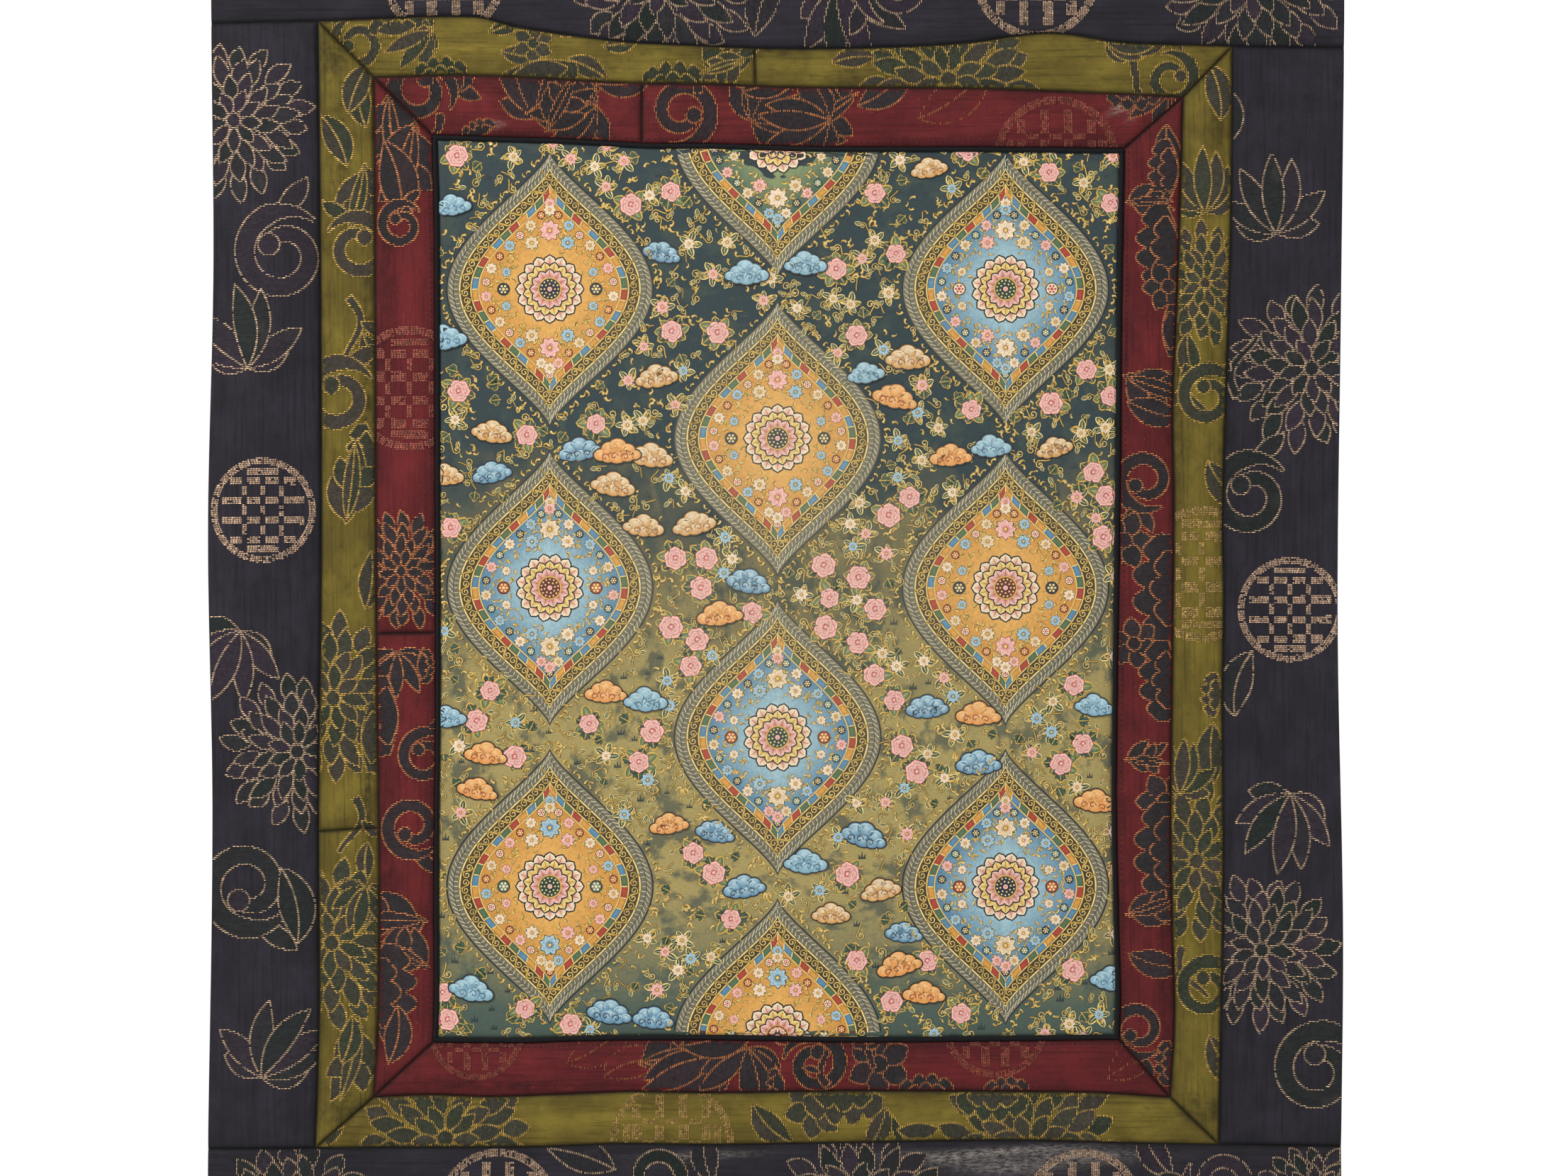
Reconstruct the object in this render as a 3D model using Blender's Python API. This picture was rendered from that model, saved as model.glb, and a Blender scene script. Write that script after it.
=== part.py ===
"""A scroll painting on cloth in its sewn brocade mount, as it hangs.

The cloth hangs in the XZ plane with its face towards -Y. The origin is the
middle of the top edge. The mount is pieced: a painted panel, a covered piping
cord round it, a mitred inner frame, a mitred outer frame, and an outer cloth of
two full-width panels with two side strips between them.

Lengths in the tables are millimetres, and the objects are in metres.
"""

from collections import namedtuple
from math import cos, exp, hypot, pi, radians, sin

import bmesh
import bpy
from mathutils import Vector

MM = 0.001

# ---------------------------------------------------------------- main sizes
CANVAS_THICK = 1.2
CLOTH_THICK = 1.5
HEM_EXTRA = 1.1  # the turned-back layer of a hem
TOP_HEM = 26.0
SIDE_HEM = 12.0
FOOT_HEM = 20.0
PIPING_RADIUS = 1.10
PIPING_PROUD = 0.35  # how far its middle stands in front of the cloth's middle
CHANNEL = 1.25  # half the channel that the piping lies in
GAP = 0.16  # half the gap between neighbours
MITRE_GAP = 0.24
STRIP_PUFF = 0.9  # how far a narrow strip swells between its seams
PANEL_PUFF = 1.1
CANVAS_PUFF = 0.7
PUFF_REACH = 7.0

# ---------------------------------------------------------------- corners
# Each ring of seams has four corners: x to the right, z up from the top edge.
Corner = namedtuple("Corner", "x z")
Ring = namedtuple("Ring", "tl tr bl br")

PIPED = Ring(  # the middle of the piping
    tl=Corner(-181.5, -202.6),
    tr=Corner(182.2, -209.9),
    bl=Corner(-181.0, -680.2),
    br=Corner(179.4, -678.6),
)
INNER = Ring(  # inner frame to outer frame
    tl=Corner(-213.8, -170.6),
    tr=Corner(214.6, -181.4),
    bl=Corner(-213.8, -710.5),
    br=Corner(207.8, -710.6),
)
OUTER = Ring(  # outer frame to outer cloth
    tl=Corner(-243.2, -141.2),
    tr=Corner(240.6, -154.6),
    bl=Corner(-244.6, -737.4),
    br=Corner(233.6, -735.6),
)
EDGE = Ring(  # the hemmed edge of the hanging
    tl=Corner(-300.0, 0.0),
    tr=Corner(300.0, 0.0),
    bl=Corner(-302.0, -944.0),
    br=Corner(298.5, -946.5),
)
# where the top and bottom panels' seams reach the hemmed sides
SIDE_TL = Corner(-299.6, -142.6)
SIDE_TR = Corner(299.4, -155.4)
SIDE_BL = Corner(-301.4, -738.0)
SIDE_BR = Corner(298.0, -736.4)

# ---------------------------------------------------------------- seams
# A seam runs straight between two corners, and each row says how far it is off
# that line at a share of its length: positive is up for a seam that runs
# across, and to the right for one that runs down.
Off = namedtuple("Off", "along off")

PIPING_TOP = (
    Off(0.00, 0.0),
    Off(0.20, -0.9),
    Off(0.31, -2.3),
    Off(0.40, -1.9),
    Off(0.56, -2.4),
    Off(0.77, -0.9),
    Off(1.00, 0.0),
)
PIPING_BOTTOM = (
    Off(0.00, 0.0),
    Off(0.13, -0.5),
    Off(0.22, 0.5),
    Off(0.41, 0.9),
    Off(0.61, -0.4),
    Off(0.79, -0.4),
    Off(1.00, 0.0),
)
PIPING_LEFT = (
    Off(0.00, 0.0),
    Off(0.09, 1.1),
    Off(0.38, 1.4),
    Off(0.63, 1.5),
    Off(0.80, 0.6),
    Off(0.95, 0.6),
    Off(1.00, 0.0),
)
PIPING_RIGHT = (
    Off(0.00, 0.0),
    Off(0.16, -0.9),
    Off(0.38, -1.2),
    Off(0.71, -2.3),
    Off(0.85, -1.0),
    Off(0.95, 0.5),
    Off(1.00, 0.0),
)
INNER_TOP = (
    Off(0.00, 0.0),
    Off(0.12, 2.1),
    Off(0.33, 0.0),
    Off(0.41, 0.4),
    Off(0.53, -0.1),
    Off(0.73, 1.7),
    Off(0.93, 0.8),
    Off(1.00, 0.0),
)
INNER_BOTTOM = (
    Off(0.00, 0.0),
    Off(0.07, 1.1),
    Off(0.15, 0.1),
    Off(0.33, 2.9),
    Off(0.43, 2.5),
    Off(0.60, 3.7),
    Off(0.75, 3.4),
    Off(0.90, 2.6),
    Off(1.00, 0.0),
)
INNER_LEFT = (
    Off(0.00, 0.0),
    Off(0.13, 0.7),
    Off(0.41, 1.1),
    Off(0.62, 1.9),
    Off(0.78, 2.9),
    Off(0.92, 2.3),
    Off(1.00, 0.0),
)
INNER_RIGHT = (
    Off(0.00, 0.0),
    Off(0.19, -1.7),
    Off(0.31, -3.4),
    Off(0.40, -2.1),
    Off(0.61, -1.7),
    Off(0.72, -1.6),
    Off(0.82, -0.2),
    Off(0.92, 1.8),
    Off(1.00, 0.0),
)
OUTER_TOP = (
    Off(0.00, 0.0),
    Off(0.17, 4.6),
    Off(0.22, -0.4),
    Off(0.33, -6.2),
    Off(0.41, -7.4),
    Off(0.51, -7.9),
    Off(0.62, -5.6),
    Off(0.71, -2.0),
    Off(0.80, 4.3),
    Off(0.88, 0.4),
    Off(1.00, 0.0),
)
OUTER_BOTTOM = (
    Off(0.00, 0.0),
    Off(0.24, 0.2),
    Off(0.34, 1.6),
    Off(0.44, 1.1),
    Off(0.59, 2.3),
    Off(0.78, 3.1),
    Off(0.89, 1.1),
    Off(1.00, 0.0),
)
OUTER_LEFT = (
    Off(0.00, 0.0),
    Off(0.20, 1.6),
    Off(0.48, 2.4),
    Off(0.70, 1.2),
    Off(0.88, 1.9),
    Off(1.00, 0.0),
)
OUTER_RIGHT = (
    Off(0.00, 0.0),
    Off(0.15, 0.5),
    Off(0.35, -1.4),
    Off(0.44, -2.0),
    Off(0.50, -0.8),
    Off(0.60, -1.0),
    Off(0.75, 0.6),
    Off(1.00, 0.0),
)
HEM_LEFT = (
    Off(0.00, 0.0),
    Off(0.22, 1.6),
    Off(0.45, -0.8),
    Off(0.70, 1.9),
    Off(1.00, 0.0),
)
HEM_RIGHT = (
    Off(0.00, 0.0),
    Off(0.25, -1.4),
    Off(0.52, -2.6),
    Off(0.80, 0.6),
    Off(1.00, 0.0),
)
HEM_FOOT = (
    Off(0.00, 0.0),
    Off(0.28, -1.6),
    Off(0.55, 0.9),
    Off(0.80, -0.8),
    Off(1.00, 0.0),
)
STRAIGHT = (Off(0.0, 0.0), Off(1.0, 0.0))

# where the pieced strips are joined, as shares of the inner and the outer seam
Join = namedtuple("Join", "inner outer")
MAROON_TOP_JOIN = Join(inner=0.303, outer=0.332)
MAROON_LEFT_JOIN = Join(inner=0.549, outer=0.546)
OLIVE_TOP_JOIN = Join(inner=0.472, outer=0.478)
OLIVE_LEFT_JOIN = Join(inner=0.736, outer=0.719)

# ---------------------------------------------------------------- folds
# Soft ridges (height above zero, towards the viewer) and troughs (below zero).
# turn is the angle of the fold's line from level; long and wide are half sizes.
Fold = namedtuple("Fold", "x z turn long wide height")
FOLDS = (
    Fold(x=-120, z=-60, turn=82, long=90, wide=34, height=1.9),
    Fold(x=60, z=-70, turn=95, long=90, wide=30, height=-1.6),
    Fold(x=205, z=-60, turn=100, long=90, wide=32, height=1.8),
    Fold(x=60, z=-190, turn=-20, long=34, wide=9, height=0.9),
    Fold(x=196, z=-196, turn=42, long=30, wide=11, height=-1.1),
    Fold(x=-196, z=-184, turn=-45, long=30, wide=10, height=-0.8),
    Fold(x=-196, z=-694, turn=40, long=26, wide=11, height=1.0),
    Fold(x=192, z=-692, turn=-48, long=30, wide=12, height=1.2),
    Fold(x=-90, z=-330, turn=88, long=130, wide=40, height=0.9),
    Fold(x=70, z=-470, turn=92, long=150, wide=46, height=-0.9),
    Fold(x=-272, z=-330, turn=84, long=120, wide=20, height=2.2),
    Fold(x=268, z=-420, turn=94, long=130, wide=22, height=-2.0),
    Fold(x=-278, z=-610, turn=88, long=80, wide=18, height=-1.8),
    Fold(x=-150, z=-850, turn=84, long=120, wide=38, height=4.2),
    Fold(x=10, z=-860, turn=92, long=110, wide=40, height=-3.6),
    Fold(x=150, z=-850, turn=97, long=120, wide=36, height=4.0),
    Fold(x=262, z=-830, turn=80, long=110, wide=26, height=-2.4),
)
# slow waves across the whole hanging: length of one wave, its start in degrees,
# its lean (mm across for each mm down) and how far it swings at top and foot
Wave = namedtuple("Wave", "length start lean top foot")
WAVES = (
    Wave(length=520, start=20, lean=0.06, top=0.6, foot=2.6),
    Wave(length=285, start=140, lean=-0.09, top=0.4, foot=1.5),
)
FOOT_CURL = 3.2  # how far the bottom hem kicks forward
SIDE_CURL = 1.6


# ---------------------------------------------------------------- helpers
def spline(rows, at):
    """The offset at a share of the seam, on a smooth curve through its rows."""
    last = len(rows) - 1
    i = 0
    while i < last - 1 and at > rows[i + 1].along:
        i += 1
    a, b = rows[i], rows[i + 1]
    wide = b.along - a.along
    t = min(1.0, max(0.0, (at - a.along) / wide))

    def slope(j):
        low, high = max(j - 1, 0), min(j + 1, last)
        return (rows[high].off - rows[low].off) / (rows[high].along - rows[low].along)

    s0, s1 = slope(i) * wide, slope(i + 1) * wide
    t2, t3 = t * t, t * t * t
    return (
        (2 * t3 - 3 * t2 + 1) * a.off
        + (t3 - 2 * t2 + t) * s0
        + (3 * t2 - 2 * t3) * b.off
        + (t3 - t2) * s1
    )


class Seam:
    """A line in the plane of the cloth, from one corner to another."""

    def __init__(self, start, end, rows=STRAIGHT, a=0.0, b=1.0):
        self.start, self.end, self.rows, self.a, self.b = start, end, rows, a, b
        dx, dz = end.x - start.x, end.z - start.z
        whole = hypot(dx, dz)
        self.length = whole * abs(b - a)
        turn = 1 if (dx > 0 if abs(dx) > abs(dz) else dz < 0) else -1
        self.side = (-dz * turn / whole, dx * turn / whole)

    def part(self, a, b):
        """A stretch of this seam, which runs backwards if b is below a."""
        return Seam(self.start, self.end, self.rows, a, b)

    def point(self, share):
        t = self.a + (self.b - self.a) * share
        off = spline(self.rows, t)
        return (
            self.start.x + (self.end.x - self.start.x) * t + self.side[0] * off,
            self.start.z + (self.end.z - self.start.z) * t + self.side[1] * off,
        )


class Chain:
    """Seams end to end. starts are the shares at which each one begins."""

    def __init__(self, seams, starts):
        self.seams, self.starts = seams, list(starts) + [1.0]
        self.length = sum(s.length for s in seams)

    def point(self, share):
        i = 0
        while i < len(self.seams) - 1 and share > self.starts[i + 1]:
            i += 1
        a, b = self.starts[i], self.starts[i + 1]
        return self.seams[i].point((share - a) / (b - a))


def grown(ring, by):
    """The ring with each corner moved outwards both ways."""
    return Ring(
        tl=Corner(ring.tl.x - by, ring.tl.z + by),
        tr=Corner(ring.tr.x + by, ring.tr.z + by),
        bl=Corner(ring.bl.x - by, ring.bl.z - by),
        br=Corner(ring.br.x + by, ring.br.z - by),
    )


def surface(x, z):
    """How far the middle of the cloth stands in front of the hanging plane."""
    down = min(1.0, max(0.0, -z / 946.0))
    h = 0.0
    for w in WAVES:
        swing = w.top + (w.foot - w.top) * down
        h += swing * sin(2 * pi * (x - w.lean * z) / w.length + radians(w.start))
    for f in FOLDS:
        c, s = cos(radians(f.turn)), sin(radians(f.turn))
        along = (x - f.x) * c + (z - f.z) * s
        across = (z - f.z) * c - (x - f.x) * s
        h += f.height * exp(-((along / f.long) ** 2) - (across / f.wide) ** 2)
    below = max(0.0, (-z - 895.0) / 51.0)
    h += FOOT_CURL * below * below
    beyond = max(0.0, (abs(x) - 262.0) / 38.0)
    h += SIDE_CURL * beyond * beyond * (1 if x > 0 else -1)
    held = min(1.0, max(0.0, -z / 60.0))  # the top edge is held straight
    return h * held * held * (3 - 2 * held)


def puff(distance, height):
    """A piece swells away from the seams that draw it in."""
    return height * (1 - exp(-max(0.0, distance) / PUFF_REACH))


def spaced(count, a=0.0, b=1.0):
    return [a + (b - a) * i / count for i in range(count + 1)]


def hemmed(shares, length, low=0.0, high=0.0):
    """The shares, with a line on each side of where a hem's layer ends."""
    kept = [
        s for s in shares
        if (not low or s * length > low + 6 or s == 0)
        and (not high or (1 - s) * length > high + 6 or s == 1)
    ]
    if low:
        kept += [low / length, (low + 1.5) / length]
    if high:
        kept += [1 - high / length, 1 - (high + 1.5) / length]
    return sorted(kept)


# ---------------------------------------------------------------- the scene
for old in list(bpy.data.objects):
    bpy.data.objects.remove(old, do_unlink=True)

hanging = bpy.data.collections.new("scroll_painting")
bpy.context.scene.collection.children.link(hanging)


def finish(name, colour, roughness):
    m = bpy.data.materials.new(name)
    m.use_nodes = True
    shader = m.node_tree.nodes["Principled BSDF"]
    shader.inputs["Base Color"].default_value = (*colour, 1)
    shader.inputs["Roughness"].default_value = roughness
    shader.inputs["Metallic"].default_value = 0.0
    m.diffuse_color = (*colour, 1)
    return m


CANVAS = finish("painted_canvas", (0.36, 0.27, 0.12), 0.62)
MAROON = finish("maroon_brocade", (0.12, 0.016, 0.020), 0.55)
OLIVE = finish("olive_brocade", (0.17, 0.14, 0.030), 0.50)
NAVY = finish("navy_brocade", (0.022, 0.018, 0.026), 0.55)
CORDING = finish("piping_twill", (0.010, 0.011, 0.014), 0.70)

Trim = namedtuple("Trim", "left right bottom top")  # what each side gives up
Hem = namedtuple("Hem", "left right bottom top")  # how wide each side's hem is
NO_HEM = Hem(0, 0, 0, 0)


def sheet(
    name, bottom, top, left, right, us, vs, material, swell,
    trim, free=(), hem=NO_HEM, thick=CLOTH_THICK,
):
    """One cut piece of cloth between four seams.

    bottom and top run from left to right, left and right from bottom to top.
    us are shares of its width and vs shares of its height. free names the sides
    that aren't sewn to anything.
    """
    nu, nv = len(us) - 1, len(vs) - 1
    wide = (top.length + bottom.length) / 2
    high = (left.length + right.length) / 2
    low_l, low_r = bottom.point(0), bottom.point(1)
    high_l, high_r = top.point(0), top.point(1)

    def place(u, v):
        u = (trim.left + u * (wide - trim.left - trim.right)) / wide
        v = (trim.bottom + v * (high - trim.bottom - trim.top)) / high
        b, t, l, r = bottom.point(u), top.point(u), left.point(v), right.point(v)
        return [
            (1 - v) * b[k] + v * t[k] + (1 - u) * l[k] + u * r[k]
            - (1 - u) * (1 - v) * low_l[k] - u * (1 - v) * low_r[k]
            - (1 - u) * v * high_l[k] - u * v * high_r[k]
            for k in (0, 1)
        ]

    bm = bmesh.new()
    bmesh.ops.create_grid(bm, x_segments=nu, y_segments=nv, size=1.0)
    depth = bm.verts.layers.float.new("depth")
    for vert in bm.verts:
        u = us[round((vert.co.x + 1) / 2 * nu)]
        v = vs[round((vert.co.y + 1) / 2 * nv)]
        reach = {
            "left": u * wide, "right": (1 - u) * wide,
            "bottom": v * high, "top": (1 - v) * high,
        }
        sewn = [d for side, d in reach.items() if side not in free]
        turned = any(
            width and reach[side] < width + 0.1
            for side, width in zip(Hem._fields, hem)
        )
        x, z = place(u, v)
        y = -surface(x, z) - puff(min(sewn), swell) - thick / 2
        vert.co = Vector((x, y, z)) * MM
        vert[depth] = thick + (HEM_EXTRA if turned else 0.0)
    made = bmesh.ops.extrude_face_region(bm, geom=list(bm.faces), use_keep_orig=True)
    for vert in made["geom"]:
        if isinstance(vert, bmesh.types.BMVert):
            vert.co.y += vert[depth] * MM
    bmesh.ops.recalc_face_normals(bm, faces=list(bm.faces))
    bm.verts.layers.float.remove(depth)
    mesh = bpy.data.meshes.new(name)
    bm.to_mesh(mesh)
    bm.free()
    mesh.shade_smooth()
    mesh.set_sharp_from_angle(angle=radians(40))
    mesh.materials.append(material)
    hanging.objects.link(bpy.data.objects.new(name, mesh))


def cording(name, seam, before, after, count):
    """A round length of covered cord that lies in its channel along a seam."""
    curve = bpy.data.curves.new(name, "CURVE")
    curve.dimensions = "3D"
    curve.bevel_depth = PIPING_RADIUS * MM
    curve.bevel_resolution = 1
    curve.use_fill_caps = True
    line = curve.splines.new("POLY")
    line.points.add(count)
    for point, share in zip(line.points, spaced(count, before, after)):
        x, z = seam.point(share)
        point.co = (x * MM, -(surface(x, z) + PIPING_PROUD) * MM, z * MM, 1)
    curve.materials.append(CORDING)
    hanging.objects.link(bpy.data.objects.new(name, curve))


# ---------------------------------------------------------------- seam lines
canvas_ring = grown(PIPED, -CHANNEL)
frame_ring = grown(PIPED, CHANNEL)

canvas_top = Seam(canvas_ring.tl, canvas_ring.tr, PIPING_TOP)
canvas_bottom = Seam(canvas_ring.bl, canvas_ring.br, PIPING_BOTTOM)
canvas_left = Seam(canvas_ring.tl, canvas_ring.bl, PIPING_LEFT)
canvas_right = Seam(canvas_ring.tr, canvas_ring.br, PIPING_RIGHT)

frame_top = Seam(frame_ring.tl, frame_ring.tr, PIPING_TOP)
frame_bottom = Seam(frame_ring.bl, frame_ring.br, PIPING_BOTTOM)
frame_left = Seam(frame_ring.tl, frame_ring.bl, PIPING_LEFT)
frame_right = Seam(frame_ring.tr, frame_ring.br, PIPING_RIGHT)

inner_top = Seam(INNER.tl, INNER.tr, INNER_TOP)
inner_bottom = Seam(INNER.bl, INNER.br, INNER_BOTTOM)
inner_left = Seam(INNER.tl, INNER.bl, INNER_LEFT)
inner_right = Seam(INNER.tr, INNER.br, INNER_RIGHT)

outer_top = Seam(OUTER.tl, OUTER.tr, OUTER_TOP)
outer_bottom = Seam(OUTER.bl, OUTER.br, OUTER_BOTTOM)
outer_left = Seam(OUTER.tl, OUTER.bl, OUTER_LEFT)
outer_right = Seam(OUTER.tr, OUTER.br, OUTER_RIGHT)

SEWN = Trim(GAP, GAP, GAP, GAP)
MITRED_ACROSS = Trim(MITRE_GAP, MITRE_GAP, GAP, GAP)
MITRED_LEFT = Trim(MITRE_GAP, GAP, GAP, GAP)
MITRED_RIGHT = Trim(GAP, MITRE_GAP, GAP, GAP)
MITRED_DOWN = Trim(GAP, GAP, MITRE_GAP, MITRE_GAP)
MITRED_TOP = Trim(GAP, GAP, GAP, MITRE_GAP)
MITRED_BOTTOM = Trim(GAP, GAP, MITRE_GAP, GAP)
ACROSS_STRIP = [0.0, 0.3, 0.7, 1.0]

# ---------------------------------------------------------------- the panel
sheet(
    "painting", canvas_bottom, canvas_top,
    canvas_left.part(1, 0), canvas_right.part(1, 0),
    [0, 0.03] + spaced(14, 0.09, 0.91) + [0.97, 1],
    [0, 0.025] + spaced(16, 0.08, 0.92) + [0.975, 1],
    CANVAS, CANVAS_PUFF, SEWN, thick=CANVAS_THICK,
)

# ---------------------------------------------------------------- the piping
piped_top = Seam(PIPED.tl, PIPED.tr, PIPING_TOP)
piped_bottom = Seam(PIPED.bl, PIPED.br, PIPING_BOTTOM)
piped_left = Seam(PIPED.tl, PIPED.bl, PIPING_LEFT)
piped_right = Seam(PIPED.tr, PIPED.br, PIPING_RIGHT)
reach_across = PIPING_RADIUS / piped_top.length
start_down = (PIPING_RADIUS + 2 * GAP) / piped_left.length
cording("piping_top", piped_top, -reach_across, 1 + reach_across, 22)
cording("piping_bottom", piped_bottom, -reach_across, 1 + reach_across, 22)
cording("piping_left", piped_left, start_down, 1 - start_down, 26)
cording("piping_right", piped_right, start_down, 1 - start_down, 26)


# ---------------------------------------------------------------- mitred frames
def strip_across(name, inner, outer, a, b, us, material, trim, upper):
    """A stretch of a frame's top or bottom strip, from share a to share b."""
    near, far = inner.part(a.inner, b.inner), outer.part(a.outer, b.outer)
    bottom, top = (near, far) if upper else (far, near)
    ends = [Corner(*s.point(e)) for e in (0, 1) for s in (bottom, top)]
    sheet(
        name, bottom, top, Seam(ends[0], ends[1]), Seam(ends[2], ends[3]),
        us, ACROSS_STRIP, material, STRIP_PUFF, trim,
    )


def strip_down(name, inner, outer, a, b, vs, material, trim, lefthand):
    """A stretch of a frame's side strip, from share a down to share b."""
    near, far = inner.part(b.inner, a.inner), outer.part(b.outer, a.outer)
    left, right = (far, near) if lefthand else (near, far)
    ends = [Corner(*s.point(e)) for e in (0, 1) for s in (left, right)]
    sheet(
        name, Seam(ends[0], ends[1]), Seam(ends[2], ends[3]), left, right,
        ACROSS_STRIP, vs, material, STRIP_PUFF, trim,
    )


START, END = Join(0, 0), Join(1, 1)

strip_across("maroon_top_left", frame_top, inner_top, START, MAROON_TOP_JOIN,
             spaced(8), MAROON, MITRED_LEFT, upper=True)
strip_across("maroon_top_right", frame_top, inner_top, MAROON_TOP_JOIN, END,
             spaced(16), MAROON, MITRED_RIGHT, upper=True)
strip_across("maroon_bottom", frame_bottom, inner_bottom, START, END,
             spaced(22), MAROON, MITRED_ACROSS, upper=False)
strip_down("maroon_left_upper", frame_left, inner_left, START, MAROON_LEFT_JOIN,
           spaced(12), MAROON, MITRED_TOP, lefthand=True)
strip_down("maroon_left_lower", frame_left, inner_left, MAROON_LEFT_JOIN, END,
           spaced(11), MAROON, MITRED_BOTTOM, lefthand=True)
strip_down("maroon_right", frame_right, inner_right, START, END,
           spaced(24), MAROON, MITRED_DOWN, lefthand=False)

TOP_LEFT_STEPS = spaced(10)
TOP_RIGHT_STEPS = spaced(11)
strip_across("olive_top_left", inner_top, outer_top, START, OLIVE_TOP_JOIN,
             TOP_LEFT_STEPS, OLIVE, MITRED_LEFT, upper=True)
strip_across("olive_top_right", inner_top, outer_top, OLIVE_TOP_JOIN, END,
             TOP_RIGHT_STEPS, OLIVE, MITRED_RIGHT, upper=True)
strip_across("olive_bottom", inner_bottom, outer_bottom, START, END,
             spaced(22), OLIVE, MITRED_ACROSS, upper=False)
strip_down("olive_left_upper", inner_left, outer_left, START, OLIVE_LEFT_JOIN,
           spaced(17), OLIVE, MITRED_TOP, lefthand=True)
strip_down("olive_left_lower", inner_left, outer_left, OLIVE_LEFT_JOIN, END,
           spaced(7), OLIVE, MITRED_BOTTOM, lefthand=True)
strip_down("olive_right", inner_right, outer_right, START, END,
           spaced(24), OLIVE, MITRED_DOWN, lefthand=False)

# ---------------------------------------------------------------- outer cloth
side_l = 57.0 / 600.0  # the shares of the panels' width that the side strips take
side_r = 1 - 59.0 / 600.0
middle = side_r - side_l
join = OLIVE_TOP_JOIN.outer
top_steps = (
    [0, side_l / 2]
    + [side_l + middle * join * s for s in TOP_LEFT_STEPS]
    + [side_l + middle * (join + (1 - join) * s) for s in TOP_RIGHT_STEPS[1:]]
    + [(1 + side_r) / 2, 1]
)
foot_steps = (
    [0, side_l / 2] + spaced(22, side_l, side_r) + [(1 + side_r) / 2, 1]
)
heading_seam = Chain(
    [Seam(SIDE_TL, OUTER.tl), outer_top, Seam(OUTER.tr, SIDE_TR)],
    (0.0, side_l, side_r),
)
foot_seam = Chain(
    [Seam(SIDE_BL, OUTER.bl), outer_bottom, Seam(OUTER.br, SIDE_BR)],
    (0.0, side_l, side_r),
)
hem_left = Seam(SIDE_TL, SIDE_BL, HEM_LEFT)
hem_right = Seam(SIDE_TR, SIDE_BR, HEM_RIGHT)

sheet(
    "navy_top", heading_seam, Seam(EDGE.tl, EDGE.tr),
    Seam(SIDE_TL, EDGE.tl), Seam(SIDE_TR, EDGE.tr),
    hemmed(top_steps, 600, SIDE_HEM, SIDE_HEM),
    hemmed([0, 0.045, 0.11, 0.3, 0.52, 1], 146, 0, TOP_HEM),
    NAVY, PANEL_PUFF, Trim(0, 0, GAP, 0), free=("left", "right", "top"),
    hem=Hem(SIDE_HEM, SIDE_HEM, 0, TOP_HEM),
)
sheet(
    "navy_bottom", Seam(EDGE.bl, EDGE.br, HEM_FOOT), foot_seam,
    Seam(EDGE.bl, SIDE_BL), Seam(EDGE.br, SIDE_BR),
    hemmed(foot_steps, 600, SIDE_HEM, SIDE_HEM),
    hemmed([0, 0.25, 0.42, 0.6, 0.78, 0.92, 0.97, 1], 208, FOOT_HEM, 0),
    NAVY, PANEL_PUFF, Trim(0, 0, 0, GAP), free=("left", "right", "bottom"),
    hem=Hem(SIDE_HEM, SIDE_HEM, FOOT_HEM, 0),
)
sheet(
    "navy_left", Seam(SIDE_BL, OUTER.bl), Seam(SIDE_TL, OUTER.tl),
    hem_left.part(1, 0), outer_left.part(1, 0),
    hemmed([0, 0.6, 0.88, 1], 57, SIDE_HEM, 0), spaced(24),
    NAVY, PANEL_PUFF, Trim(0, GAP, GAP, GAP), free=("left",),
    hem=Hem(SIDE_HEM, 0, 0, 0),
)
sheet(
    "navy_right", Seam(OUTER.br, SIDE_BR), Seam(OUTER.tr, SIDE_TR),
    outer_right.part(1, 0), hem_right.part(1, 0),
    hemmed([0, 0.12, 0.4, 1], 61, 0, SIDE_HEM), spaced(24),
    NAVY, PANEL_PUFF, Trim(GAP, 0, GAP, GAP), free=("right",),
    hem=Hem(0, SIDE_HEM, 0, 0),
)
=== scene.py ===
"""Looks of a scroll painting in its brocade mount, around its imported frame.

Lengths are millimetres in the plane of the hanging: x to the right, z up from
the top edge, and h forward, towards the viewer (-Y). Meshes are in metres.
"""

from collections import namedtuple
from math import cos, hypot, pi, radians, sin

import bpy
import numpy as np
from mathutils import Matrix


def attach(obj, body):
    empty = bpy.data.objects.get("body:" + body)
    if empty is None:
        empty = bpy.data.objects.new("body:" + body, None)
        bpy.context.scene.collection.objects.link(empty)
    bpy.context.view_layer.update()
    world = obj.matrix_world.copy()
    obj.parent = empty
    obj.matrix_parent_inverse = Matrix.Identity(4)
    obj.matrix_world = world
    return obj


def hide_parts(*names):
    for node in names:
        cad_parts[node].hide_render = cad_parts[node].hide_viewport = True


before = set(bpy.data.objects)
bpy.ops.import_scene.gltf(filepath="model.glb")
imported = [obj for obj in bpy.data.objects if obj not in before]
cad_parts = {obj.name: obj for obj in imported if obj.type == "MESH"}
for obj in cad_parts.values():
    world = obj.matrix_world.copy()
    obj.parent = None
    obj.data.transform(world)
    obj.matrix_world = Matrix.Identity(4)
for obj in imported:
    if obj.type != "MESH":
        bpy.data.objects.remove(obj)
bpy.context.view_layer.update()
MM = 0.001

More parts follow.
